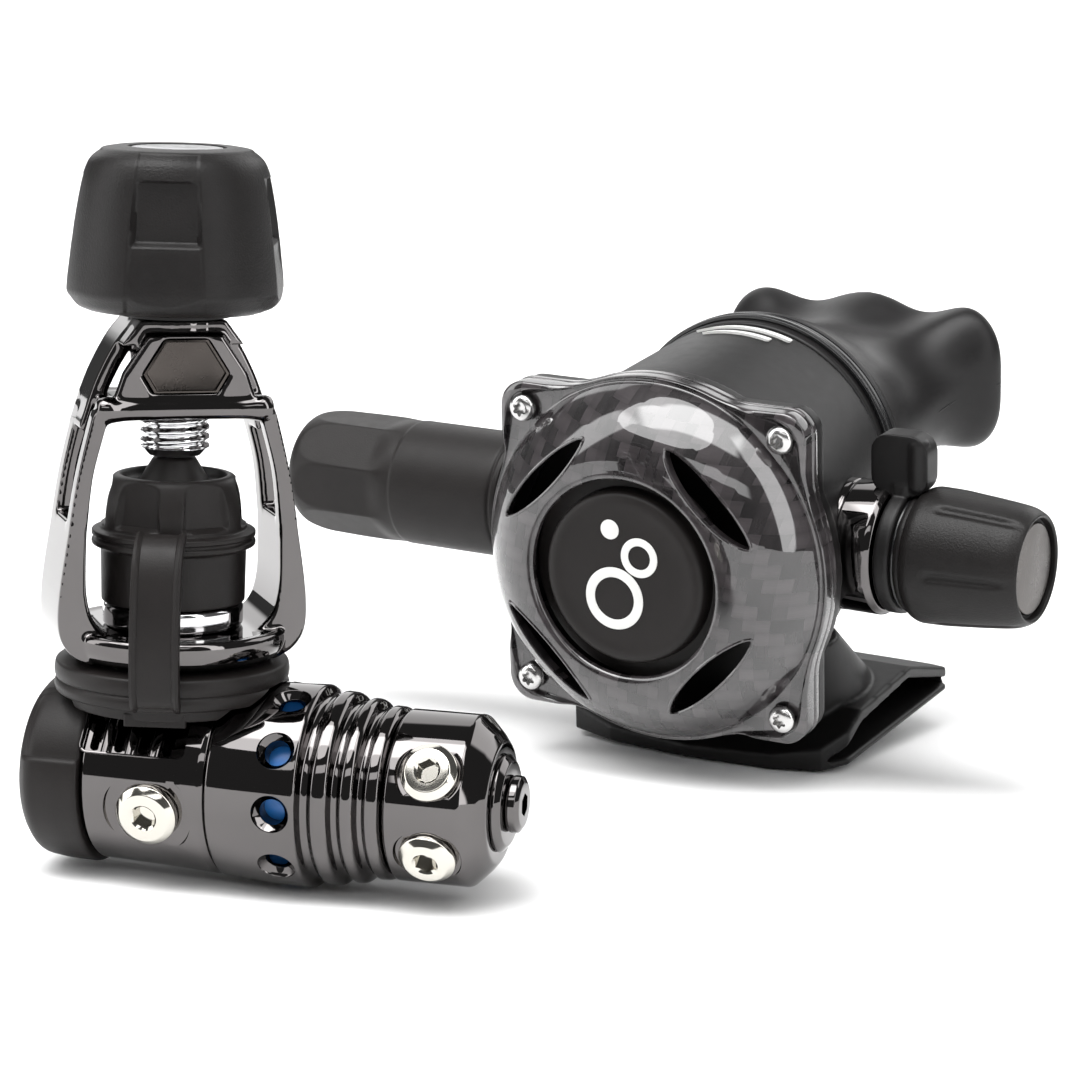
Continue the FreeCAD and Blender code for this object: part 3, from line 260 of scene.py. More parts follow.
# ------------------------ mesh tools, all in millimetres
def smooth_step(low, high, value):
    """0 below low, 1 above high, and an even rise between them; low may be above high."""
    part = min(1.0, max(0.0, (value - low) / (high - low)))
    return part * part * (3 - 2 * part)


def mix(a, b, part):
    return a + (b - a) * part


def rounded(corners, rounding, steps=4):
    """A profile with its corners rounded. A corner may carry a rounding of its own as its third value."""
    closed = corners[0][0] > 0 or corners[-1][0] > 0
    count = len(corners)
    points = []
    for i, corner in enumerate(corners):
        here = Vector(corner[:2])
        if not closed and i in (0, count - 1):
            points.append(here)
            continue
        before = Vector(corners[i - 1][:2]) - here
        after = Vector(corners[(i + 1) % count][:2]) - here
        size = corner[2] if len(corner) > 2 else rounding
        start = here + before.normalized() * min(size, before.length / 2)
        end = here + after.normalized() * min(size, after.length / 2)
        for step in range(steps + 1):
            t = step / steps
            points.append(start * (1 - t) ** 2 + here * 2 * t * (1 - t) + end * t * t)
    return points, closed


def divided(points, closed, longest):
    """The same line with no span longer than a given length."""
    result = []
    pairs = zip(points, points[1:] + points[:1]) if closed else zip(points, points[1:])
    for a, b in pairs:
        count = max(1, math.ceil((b - a).length / longest))
        result += [a.lerp(b, i / count) for i in range(count)]
    return result if closed else result + [points[-1]]


def skin(bm, rings, closed_along):
    """Faces between rings of vertices; a ring of one vertex is a pole."""
    for a, b in zip(rings, rings[1:] + rings[:1] if closed_along else rings[1:]):
        count = max(len(a), len(b))
        for i in range(count):
            j = (i + 1) % count
            corners = [a[i % len(a)], a[j % len(a)], b[j % len(b)], b[i % len(b)]]
            corners = [corner for k, corner in enumerate(corners) if corner not in corners[:k]]
            if len(corners) > 2:
                bm.faces.new(corners)


def lofted(rings, closed_along=False):
    """A body through rings of points: a closed loop, or a bar with flat ends."""
    bm = bmesh.new()
    rings = [[bm.verts.new(point) for point in ring] for ring in rings]
    skin(bm, rings, closed_along)
    if not closed_along:
        bm.faces.new(reversed(rings[0]))
        bm.faces.new(rings[-1])
    bmesh.ops.recalc_face_normals(bm, faces=bm.faces)
    return bm


def turned(corners, rounding=0.4, segments=144, shape=None, longest=None):
    """A turned body about local Z from a (radius, height) profile.

    shape(angle, radius, height) may move a point: it gives the new radius and height."""
    points, closed = rounded(corners, rounding)
    if longest:
        points = divided(points, closed, longest)
    bm = bmesh.new()
    rings = []
    for radius, height in points:
        if radius < 1e-4 and not closed:
            rings.append([bm.verts.new((0, 0, height))])
            continue
        ring = []
        for i in range(segments):
            angle = 2 * math.pi * i / segments
            r, h = shape(angle, radius, height) if shape else (radius, height)
            ring.append(bm.verts.new((r * math.cos(angle), r * math.sin(angle), h)))
        rings.append(ring)
    skin(bm, rings, closed)
    bmesh.ops.remove_doubles(bm, verts=bm.verts, dist=1e-4)
    bmesh.ops.recalc_face_normals(bm, faces=bm.faces)
    return bm


def rod(radius, low, high, rounding=0.05, segments=64):
    return turned([(0, low), (radius, low), (radius, high), (0, high)], rounding, segments)


def prism(outline, low, high):
    """A straight prism along local Z from an outline of (x, y) points."""
    return lofted([[(x, y, z) for x, y in outline] for z in (low, high)])


def polygon(sides, radius, first=0.0, wave=0.0):
    """Points round a circle; with a wave, a six-lobed star."""
    points = []
    for i in range(sides):
        angle = math.radians(first) + 2 * math.pi * i / sides
        reach = radius + wave * math.cos(6 * angle)
        points.append((reach * math.cos(angle), reach * math.sin(angle)))
    return points


def rounded_box(x, y, corner, steps=6):
    """The outline of a rectangle of half sizes x and y with round corners."""
    points = []
    for quarter, (cx, cy) in enumerate(((1, 1), (-1, 1), (-1, -1), (1, -1))):
        for step in range(steps + 1):
            angle = math.pi / 2 * (quarter + step / steps)
            round_x, round_y = corner * math.cos(angle), corner * math.sin(angle)
            points.append((cx * (x - corner) + round_x, cy * (y - corner) + round_y))
    return points


def placed(bm, matrix):
    bmesh.ops.transform(bm, matrix=matrix, verts=bm.verts)
    return bm


def joined(*meshes):
    """Several meshes in one, each still a separate shell."""
    result = bmesh.new()
    for part in meshes:
        mesh = bpy.data.meshes.new("part")
        part.to_mesh(mesh)
        result.from_mesh(mesh)
        bpy.data.meshes.remove(mesh)
        part.free()
    return result


def copies(bm, matrices):
    """The mesh repeated at each of several places."""
    result = joined(*(placed(bm.copy(), matrix) for matrix in matrices))
    bm.free()
    return result


def stand_in(bm, name):
    mesh = bpy.data.meshes.new(name)
    bm.to_mesh(mesh)
    bm.free()
    thing = bpy.data.objects.new(name, mesh)
    bpy.context.scene.collection.objects.link(thing)
    return thing


def discard(thing):
    mesh = thing.data
    bpy.data.objects.remove(thing)
    bpy.data.meshes.remove(mesh)


def evaluated(thing):
    """The mesh that an object's modifiers make, as a bmesh; the object is used up."""
    bpy.context.view_layer.update()
    mesh = bpy.data.meshes.new_from_object(thing.evaluated_get(bpy.context.evaluated_depsgraph_get()))
    bm = bmesh.new()
    bm.from_mesh(mesh)
    bpy.data.meshes.remove(mesh)
    discard(thing)
    return bm


def combine(base, *tools, operation="DIFFERENCE"):
    """Cut closed meshes out of a closed mesh, or join them to it."""
    thing = stand_in(base, "base")
    others = [stand_in(tool, "tool") for tool in tools]
    for other in others:
        cut = thing.modifiers.new("cut", "BOOLEAN")
        cut.operation = operation
        cut.solver = "EXACT"
        cut.object = other
    result = evaluated(thing)
    for other in others:
        discard(other)
    return result


def soften(bm, voxel, passes):
    """Round every edge of a closed mesh a little, as casting and moulding do."""
    thing = stand_in(bm, "soft")
    remesh = thing.modifiers.new("remesh", "REMESH")
    remesh.mode = "VOXEL"
    remesh.voxel_size = voxel
    thing.modifiers.new("smooth", "SMOOTH").iterations = passes
    return evaluated(thing)


def cad_mesh(node, matrix):
    """A copy of a CAD node's mesh, in millimetres in the given frame."""
    bm = bmesh.new()
    bm.from_mesh(frame["nodes"][node].data)
    bmesh.ops.remove_doubles(bm, verts=bm.verts, dist=1e-7)
    return placed(bm, matrix.inverted())


def tube(points, radius, closed=True):
    """A round section along a line of points."""
    sides = 8
    last = len(points) - 1
    rings = []
    for i, point in enumerate(points):
        before, after = (i - 1, (i + 1) % len(points)) if closed else (max(i - 1, 0), min(i + 1, last))
        forward = (points[after] - points[before]).normalized()
        side = forward.cross(ROW_Z).normalized()
        up = side.cross(forward)
        turns = [2 * math.pi * k / sides for k in range(sides)]
        rings.append([point + radius * (side * math.cos(turn) + up * math.sin(turn)) for turn in turns])
    return lofted(rings, closed)


def smooth_line(points, steps):
    """A Catmull-Rom line through the points."""
    line = []
    for i in range(len(points) - 1):
        a, b = points[max(i - 1, 0)], points[i]
        c, d = points[i + 1], points[min(i + 2, len(points) - 1)]
        for step in range(steps):
            t = step / steps
            bend_in, bend_out = 2 * a - 5 * b + 4 * c - d, 3 * b - a - 3 * c + d
            line.append(0.5 * (2 * b + (c - a) * t + bend_in * t * t + bend_out * t ** 3))
    return line + [points[-1]]


def piece(name, bm, matrix, node=None, body=None, slot=None, finish=None, sharp=30, replaces=True):
    """Finish a mesh as a piece: it takes a CAD node's body and slot, and stands for that node."""
    thing = stand_in(bm, name)
    mesh = thing.data
    mesh.transform(matrix)
    for face in mesh.polygons:
        face.use_smooth = True
    mesh.set_sharp_from_angle(angle=math.radians(sharp))
    slot = slot or SLOT_OF[node]
    mesh.materials.append(MATERIALS[finish or slot])
    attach(thing, body or BODY_OF[node])
    if node and replaces:
        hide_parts(node)


def radial_matrix(along, angle, reach=0.0):
    """In the barrel's frame: local Z points out of the barrel, at an angle above the front."""
    turn = math.radians(angle)
    out = Vector((-math.cos(turn), math.sin(turn), 0))
    up = Vector((math.sin(turn), math.cos(turn), 0))
    place = Matrix((up.cross(out), up, out)).transposed().to_4x4()
    return Matrix.Translation(out * reach + Vector((0, 0, along))) @ place


# ------------------------ first stage: barrel
AXIS_RISE = 21.5          # height of the barrel's axis
BODY_LEFT, BODY_RIGHT = -13.4, 14.3
BODY_RADIUS = 19.6
BOSS_RADIUS = 17.3
GAUGE_AT, GAUGE_ANGLE, GAUGE_FACE = 1.9, -13.0, 18.6
PORT_AT, PORT_ANGLE, PORT_FACE = 61.2, 29.5, 17.2
HOLES_AT, HOLE_RADIUS = 29.2, 2.7
WINDOW = 11.5, 5.4, 1.6       # the body's slotted window: half sizes and corner
WINDOW_AT, WINDOW_ANGLE = -1.9, 38


def hex_plug(head_radius, head, socket):
    """A port plug standing on its flat: a broad chamfer, a dished face and a hex socket."""
    corner = socket / math.sqrt(3)
    body = turned([
        (0, -4), (head_radius - 1.6, -4), (head_radius - 1.6, 0.02), (head_radius - 0.3, 0.02),
        (head_radius, 0.4), (head_radius, head - 1.3), (head_radius - 1.4, head), (0, head),
    ], rounding=0.25, segments=72)
    flare = turned([
        (0, head - 0.5), (corner - 0.3, head - 0.5), (corner + 0.4, head + 0.2), (0, head + 0.2),
    ], rounding=0.01, segments=48)
    return combine(body, prism(polygon(6, corner, 30), head - 2.4, head + 1), flare)


def first_stage_body():
    shell = turned([
        (9.5, BODY_LEFT), (BODY_RADIUS - 1.4, BODY_LEFT), (BODY_RADIUS - 0.5, BODY_LEFT + 1),
        (BODY_RADIUS + 0.2, BODY_RIGHT - 8, 4), (BODY_RADIUS + 0.6, BODY_RIGHT - 1.2),
        (BODY_RADIUS + 0.1, BODY_RIGHT), (4.6, BODY_RIGHT), (4.6, 9), (9.5, 9),
    ], rounding=0.35, segments=240)
    boss_top = 46.8 - AXIS_RISE
    boss = placed(turned([
        (0, 14), (BOSS_RADIUS - 4, 14), (BOSS_RADIUS - 4, 14.4), (BOSS_RADIUS - 3.9, 21.5),
        (BOSS_RADIUS, 21.6), (BOSS_RADIUS, boss_top), (0, boss_top),
    ], rounding=0.3, segments=120), TO_UP)
    whole = combine(shell, boss, operation="UNION")
    port = turned([
        (0, 8), (5, 8), (5, GAUGE_FACE), (9.4, GAUGE_FACE), (9.7, GAUGE_FACE + 0.4), (9.7, 24), (0, 24),
    ], rounding=0.05, segments=96)
    angles = (GAUGE_ANGLE, 180 - GAUGE_ANGLE)
    ports = [placed(port.copy(), radial_matrix(GAUGE_AT, angle)) for angle in angles]
    window = placed(prism(rounded_box(*WINDOW), 17.9, 26), radial_matrix(WINDOW_AT, WINDOW_ANGLE))
    slot = prism(rounded_box(1.15, 4.6, 1.1), 15.6, 19)
    slots = [placed(slot.copy(), radial_matrix(x, WINDOW_ANGLE)) for x in (-10.6, -5.3, 0.0, 5.3)]
    bore = placed(rod(10, 8, 40, segments=96), TO_UP)
    whole = combine(combine(whole, *ports, window, bore), *slots)
    bars = [
        placed(rod(1.35, -5.6, 5.6, 0.2, 32), radial_matrix(x, WINDOW_ANGLE, 17.4) @ about("X", 90))
        for x in (-8.0, -2.7, 2.6)
    ]
    lip = bend(tube([Vector((x, y, 0)) for x, y in rounded_box(*WINDOW, 8)], 0.28), BODY_RADIUS - 0.15)
    lip = placed(lip, radial_matrix(WINDOW_AT, WINDOW_ANGLE))
    piece("high_pressure_body", joined(whole, *bars, lip), BARREL, node="first_stage_body")


def bend(bm, radius):
    """Lay a flat mesh in the XY plane onto a cylinder whose axis is X, at a height of its radius."""
    for vertex in bm.verts:
        x, y, z = vertex.co
        turn = y / radius
        vertex.co = (x, (radius + z) * math.sin(turn), (radius + z) * math.cos(turn))
    return bm


# from a frame whose Z is up to the barrel's frame, whose Y is up
TO_UP = Matrix(((0, 1, 0, 0), (0, 0, 1, 0), (1, 0, 0, 0), (0, 0, 0, 1)))


def body_protector():
    def patch(angle, radius, height):
        """A shallow flat on the front's upper side, and a low step under it."""
        above = math.degrees(math.atan2(math.sin(angle), -math.cos(angle)))
        flat = smooth_step(14, 17, above) * smooth_step(66, 63, above) * smooth_step(-27.2, -26, height)
        return radius - 0.9 * flat * smooth_step(15, 17, radius), height

    bm = turned([
        (0, -28.5), (13.5, -28.5, 2), (16.4, -27.6, 1.2), (19.3, -25.2, 1.5), (20.0, -20, 2),
        (20.1, BODY_LEFT - 0.9), (19.8, BODY_LEFT - 0.1), (12.8, BODY_LEFT - 0.1), (12.8, -22.5),
        (0, -22.5),
    ], rounding=0.5, segments=240, shape=patch, longest=1.2)
    notch = placed(rod(17.5, 10, 40, segments=120), TO_UP)
    piece("end_protector", combine(bm, notch), BARREL, node="body_protector")


def piston_cap():
    groove = 0.75
    bm = turned([
        (14.2, BODY_RIGHT + 0.02), (BODY_RADIUS - 0.2, BODY_RIGHT + 0.02),
        (BODY_RADIUS + 0.8, BODY_RIGHT + 0.6, 0.5), (21.0, 22, 3), (21.35, 29, 3), (21.25, 34.0, 0.7),
        (19.0, 35.0, groove), (18.8, 36.6, groove), (20.4, 37.4, 0.9), (20.1, 40.4, 0.9),
        (18.0, 41.2, groove), (17.8, 42.6, groove), (19.4, 43.4, 0.9), (19.1, 45.6, 0.9),
        (17.0, 46.4, groove), (16.8, 47.6, groove), (18.2, 48.3, 0.7), (18.0, 50.6, 0.5), (16.8, 51.4),
        (6, 51.4), (6, 47.4), (15.65, 47.4), (15.65, 36.6), (16.2, 36.4), (16.2, 18.4), (14.2, 18.4),
    ], rounding=0.3, segments=240)
    hole = turned([
        (0, 10), (HOLE_RADIUS, 10), (HOLE_RADIUS, 19.4), (HOLE_RADIUS + 0.9, 20.4), (3.9, 20.8), (4.2, 21.6),
        (4.2, 24), (0, 24),
    ], rounding=0.12, segments=56)
    holes = copies(hole, [radial_matrix(HOLES_AT, -4 + 36 * i) for i in range(10)])
    piece("ribbed_piston_cap", combine(bm, holes), BARREL, node="piston_cap")


def swivel_turret():
    bm = turned([
        (6.05, 51.7), (17.1, 51.7), (17.9, 52.5), (17.9, 67.6, 0.8), (14.6, 70.9, 0.5), (12.6, 72.4, 0.5),
        (9.35, 72.4), (9.35, 57), (6.05, 57),
    ], rounding=0.3, segments=240)
    port = turned([
        (0, 8.6), (4.25, 8.6), (4.25, PORT_FACE - 0.3), (4.6, PORT_FACE), (6.9, PORT_FACE),
        (7.3, PORT_FACE + 0.5), (7.3, 22), (0, 22),
    ], rounding=0.08, segments=72)
    angles = (PORT_ANGLE, -PORT_ANGLE, 180 - PORT_ANGLE, 180 + PORT_ANGLE)
    ports = copies(port, [radial_matrix(PORT_AT, angle) for angle in angles])
    piece("swivel_turret_shell", combine(bm, ports), BARREL, node="swivel_turret")
    plug = hex_plug(6.0, 2.7, 4.4)
    plugs = copies(plug, [radial_matrix(PORT_AT, angle, PORT_FACE) for angle in angles[:3]])
    piece("hose_port_plugs", plugs, BARREL, node="low_pressure_port_plugs", finish="plug_plating")


def gauge_plug():
    plug = placed(hex_plug(6.6, 3.0, 4.6), radial_matrix(GAUGE_AT, GAUGE_ANGLE, GAUGE_FACE))
    piece("gauge_port_plug", plug, BARREL, node="high_pressure_port_plug", finish="plug_plating")


def end_fitting():
    ring = turned([
        (4.85, 65.2), (9.25, 65.2), (9.25, 72.4), (10.1, 72.4), (10.2, 73.1), (8.7, 74.3), (4.85, 74.4),
    ], rounding=0.25, segments=96)
    piece("turret_end_ring", ring, BARREL, node="turret_end_fitting")
    plug = turned([
        (0, 65.4), (4.75, 65.4), (4.75, 74.42), (5.7, 74.42), (5.95, 74.9), (5.9, 76.4), (4.6, 77.15),
        (0, 77.15),
    ], rounding=0.25, segments=72)
    socket = prism(polygon(6, 2.5, 30), 74.8, 78)
    piece("turret_end_plug", combine(plug, socket), BARREL, node="end_port_plug")


# ------------------------ first stage: yoke stack
LEG_OUTSIDE = [(19, 47), (23.4, 49.6), (25.8, 54), (25.8, 62), (23.6, 77)]
LEG_INSIDE = [(15.5, 53.4), (18.8, 56.9), (20.2, 62.4), (20.3, 70), (20.1, 77)]
RIB_OUTSIDE = [(23.9, 75.5), (22.2, 86), (19.6, 97), (18.6, 100)]
RIB_INSIDE = [(20.1, 75.5), (19.0, 86), (16.9, 94.5), (15.3, 100)]
ARCH_OUTSIDE = [(20.3, 95), (19.6, 97), (16.9, 105), (12.8, 113), (8.8, 118)]
ARCH_INSIDE = [(17.0, 94), (15.9, 98.5), (14.6, 102), (13.3, 105), (11.2, 109), (8.0, 114)]


def facing(outline, low, high):
    """An upright plate from (x, z) points that faces the front, between two depths."""
    return placed(prism(outline, -high, -low), about("X", 90))


def bowed(side, outside, inside, low, high):
    """One side's bar between two smooth lines, cut to a depth."""
    lines = [smooth_line([Vector(point) for point in line], 5) for line in (outside, inside)]
    outline = [(side * point.x, point.y) for point in lines[0] + lines[1][::-1]]
    return facing(outline, low, high)


def yoke():
    """Front ribs that carry the plate, and an arch behind; cast, so every edge and corner is round."""
    parts = []
    for side in (1, -1):
        parts += [
            bowed(side, LEG_OUTSIDE, LEG_INSIDE, -11, 11),
            bowed(side, RIB_OUTSIDE, RIB_INSIDE, -10.9, -6.2),
            bowed(side, RIB_OUTSIDE, RIB_INSIDE, 5.4, 10.9),
            bowed(side, ARCH_OUTSIDE, ARCH_INSIDE, -2, 11),
        ]
    hole = rod(7.35, 90, 125)
    plate = [(15.4, 100), (12.8, 107.5), (7.6, 115.2), (-7.6, 115.2), (-12.8, 107.5), (-15.4, 100)]
    plate = combine(facing(plate, -11, -7.8), facing(badge_outline(0.99), -12, -9.8))
    floor = facing([(15.9, 98.6), (17, 101.7), (-17, 101.7), (-15.9, 98.6)], -10, 10.4)
    top = facing([(12.7, 112.8), (8.8, 118), (-8.8, 118), (-12.7, 112.8)], -8.2, 11)
    boss = turned([(7.35, 98.6), (9.4, 98.6), (9.4, 118), (7.35, 118)], rounding=0.05, segments=64)
    bowl = turned([
        (10.95, 47), (19.6, 47), (22.4, 47.9, 1.5), (23.9, 50.4, 1.5), (23.9, 53.0), (23.1, 53.9),
        (21.6, 53.4), (10.95, 53.4),
    ], rounding=0.5, segments=120)
    bar = turned([
        (0, -18.5), (2.2, -18.3), (3.0, -16.4, 1), (2.3, -13.0, 3), (2.15, 0, 3), (2.3, 13.0, 3),
        (3.0, 16.4, 1), (2.2, 18.3), (0, 18.5),
    ], rounding=0.6, segments=32)
    bars = copies(bar, [at(0, y, 99.9) @ about("Y", 90) for y in (-9.7, 9.2)])
    parts += [combine(floor, hole.copy()), combine(top, hole), plate, boss, bowl, bars]
    piece("yoke_casting", soften(joined(*parts), 0.3, 30), YOKE, node="yoke", sharp=75)


def badge_outline(scale):
    """The six-sided seat in the front of the yoke's head."""
    corners = [(-4.6, 114.4), (4.6, 114.4), (9.2, 107.2), (6.8, 103.2), (-6.8, 103.2), (-9.2, 107.2)]
    middle = 108.6
    return [(x * scale, middle + (z - middle) * scale) for x, z in corners]


def badge():
    """A six-sided inlay with a raised rim, left plain."""
    steps = ((0.96, -10.05), (0.96, -10.8), (0.9, -10.9), (0.87, -10.3), (0.84, -10.25))
    rings = [[(x, y, z) for x, z in badge_outline(scale)] for scale, y in steps]
    piece("badge_inlay", lofted(rings), YOKE, node="yoke_badge", sharp=20)


def panelled(first, panels, half_low, half_high, low, high, depth, edge=0.6, sunk=0.0):
    """A shape with flat recessed panels round a grip; depth(height) is a panel's distance from the axis."""
    step = 2 * math.pi / panels

    def shape(angle, radius, height):
        offset = (angle - first + step / 2) % step - step / 2
        across = abs(radius * math.sin(offset))
        half = mix(half_low, half_high, min(1, max(0, (height - low) / (high - low))))
        inside = smooth_step(half + edge, half - edge, across) * smooth_step(low - edge, low + edge, height)
        inside *= smooth_step(high + edge, high - edge, height)
        wanted = min(radius - sunk, depth(height) / math.cos(offset))
        return mix(radius, wanted, inside), height

    return shape


def knob():
    """A rubber grip with four shallow panels, each ending below in a step with a bulge under it."""
    def depth(height):
        if height < 133.4:
            return mix(21.5, 20.3, smooth_step(123.4, 133.4, height))
        if height > 146.4:
            return mix(17.9, 20.5, smooth_step(146.4, 147.4, height))
        return mix(20.2, 18.4, smooth_step(133.4, 134.8, height)) - 0.045 * max(0, height - 134.8)

    front = math.radians(-90 + KNOB_FACING)
    shape = panelled(front, 4, 8.4, 6.0, 117.0, 152.0, depth, 0.3, 0.4)
    bm = turned([
        (0, 125.4), (7.3, 125.4), (7.3, 119.4), (18.4, 119.4), (20.9, 120.4, 1.0), (22.7, 122.9, 0.3),
        (23.0, 123.6, 0.4), (22.85, 126, 1.0), (22.0, 133, 3), (20.8, 141, 3), (19.6, 147, 2.0),
        (18.2, 150.4, 1.6), (15.4, 152.3, 0.8), (12.4, 152.8, 0.5), (10, 152.7, 0.3), (10, 151.6, 0.2),
        (0, 151.6),
    ], rounding=0.4, segments=480, shape=shape, longest=0.35)
    piece("yoke_knob_grip", bm, FIRST, node="yoke_knob", finish="grip_rubber", sharp=50)


def knob_disc():
    disc = [(0, 151.65), (9.8, 151.65), (9.8, 152.2), (9.2, 152.5), (0, 152.5)]
    bm = turned(disc, rounding=0.15, segments=96)
    piece("yoke_knob_disc", bm, FIRST, node="knob_emblem", finish="silver_inlay")


def dust_cap():
    def depth(height):
        return mix(13.4, 12.6, smooth_step(72, 82, height))

    front = math.radians(-90 + CAP_FACING)
    bm = turned([
        (0, 88.9), (4.2, 88.9, 0.8), (5.6, 86.6, 1.2), (7.8, 82.9, 0.6), (10.2, 83.2, 0.8),
        (11.0, 85.3, 0.6), (12.8, 84.9, 1.5), (14.6, 80.5, 3), (15.1, 74.6, 1), (15.3, 74.0, 0.3),
        (17.0, 73.6, 0.4), (17.0, 72.6, 0.2), (16.5, 72.3, 0.2), (16.5, 71.8, 0.2), (17.0, 71.5, 0.2),
        (17.0, 70.6, 0.4), (15.1, 69.9, 0.4), (14.9, 58.7), (10, 58.7), (10, 68), (0, 68),
    ], rounding=0.4, segments=288, shape=panelled(front, 6, 5.2, 4.2, 75.2, 84.3, depth, 0.4), longest=0.6)
    piece("dust_cap_dome", bm, FIRST, node="dust_cap", sharp=50)


def strap():
    """A two-layer ring, and a band with beaded edges that bows out and back up to the dust cap."""
    ring = turned([
        (17.5, 37.0), (21.6, 37.0, 0.5), (21.8, 39.2, 0.3), (24.2, 39.7, 0.5), (24.6, 41.3, 0.6),
        (24.2, 42.2, 0.2), (23.9, 42.5, 0.2), (24.3, 42.8, 0.2), (24.6, 44.2, 0.8), (24.2, 46.2, 0.6),
        (20.6, 46.8), (17.5, 46.8),
    ], rounding=0.3, segments=200)
    barrel = placed(rod(21.6, -35, 35, segments=160), at(0, 0, AXIS_RISE) @ about("Y", 90))
    ring = combine(ring, barrel)
    route = [
        (17.4, 74.6), (19.2, 73.9), (21.6, 72.2), (23.6, 69.2), (24.9, 65), (26.0, 59), (26.6, 52.5),
        (26.3, 46.5), (25.2, 42.2), (22.6, 40.4),
    ]
    half = [(3.5, 0.75), (3.8, 1.1), (4.4, 1.35), (5, 1.1), (5.2, 0), (5, -0.9)]
    section = [(-x, up) for x, up in half[::-1]] + half
    line = smooth_line([Vector(point) for point in route], 6)
    rings = []
    for i, point in enumerate(line):
        ahead = (line[min(i + 1, len(line) - 1)] - line[max(i - 1, 0)]).normalized()
        out = Vector((-ahead.y, ahead.x))
        rings.append([(x, -(point.x + up * out.x), point.y + up * out.y) for x, up in section])
    turn = about("Z", STRAP_TURN)
    foot = placed(prism(rounded_box(6.4, 0.9, 0.5), 35.9, 38.4), turn @ at(-0.6, -20.2, 0))
    bm = joined(ring, placed(lofted(rings), turn), foot)
    piece("dust_cap_band", bm, FIRST, node="dust_cap_strap", sharp=40)


def yoke_screw():
    pitch, depth = 2.0, 0.6

    def thread(angle, radius, height):
        if radius < 7.0 or height < 91 or height > 119:
            return radius, height
        phase = (height / pitch - angle / (2 * math.pi)) % 1
        return radius - depth * (0.5 + 0.5 * math.cos(2 * math.pi * phase)), height

    screw = [(0, 89.2), (5.4, 89.2), (7.25, 91.0), (7.25, 123), (0, 123)]
    bm = turned(screw, rounding=0.25, segments=96, shape=thread, longest=0.25)
    piece("yoke_screw_thread", bm, FIRST, node="yoke_screw", sharp=60)


def inlet_fitting():
    bm = turned([
        (4.5, 36), (9.9, 36), (9.9, 46.8), (10.8, 46.8), (10.8, 53.5), (14.0, 53.5), (14.6, 54.2),
        (14.6, 57.7, 0.5), (13.8, 58.5, 0.5), (9.2, 58.5), (8.9, 58.2), (6.6, 58.2), (5.8, 58.5),
        (5.8, 62.1), (5.0, 62.9), (4.5, 62.9),
    ], rounding=0.2, segments=120)
    piece("inlet_seat", bm, FIRST, node="inlet_fitting")


# ------------------------ second stage
COVER_RADIUS, EAR_HALF = 45.0, 40.3
SCREW_PLACES = [at(x * SCREW_HALF, y * SCREW_HALF, 0) for x in (-1, 1) for y in (-1, 1)]


def cover_outline(angle):
    """The cover's outer radius: round, with four ears that are a rounded square's corners."""
    c, s = abs(math.cos(angle)), abs(math.sin(angle))
    reach = EAR_HALF / max(c, s)
    if min(c, s) * reach > SCREW_HALF:
        along = SCREW_HALF * (c + s)
        reach = along + math.sqrt(along * along - 2 * SCREW_HALF ** 2 + (EAR_HALF - SCREW_HALF) ** 2)
    blend = 2.2
    part = min(1.0, max(0.0, 0.5 + 0.5 * (reach - COVER_RADIUS) / blend))
    return mix(COVER_RADIUS, reach, part) + blend * part * (1 - part)


def lens(length, width, steps=28):
    """A slot's outline, from half its length and half its width: two arcs that meet in round ends."""
    points = []
    for i in range(2 * steps):
        turn = math.pi * i / steps
        x = length * math.cos(turn)
        y = width * math.copysign(abs(math.sin(turn)) ** 1.25, math.sin(turn))
        points.append((x, y))
    return points


DOME = [
    (24.0, -16.1, 0.5), (25.0, -17.0, 0.8), (29.8, -16.3, 3), (34.5, -13.9, 3), (38.9, -9.8, 3),
    (42.2, -4.6, 3), (43.4, -1.9, 0.8),
]


def dome_height(radius):
    """Height of the dome's outer surface at a distance from its middle."""
    line, _ = rounded([(0, -17)] + DOME + [(60, -1.9)], 0.4)
    for a, b in zip(line, line[1:]):
        if a.x <= radius <= b.x and b.x > a.x:
            return mix(a.y, b.y, (radius - a.x) / (b.x - a.x))
    return line[-1].y


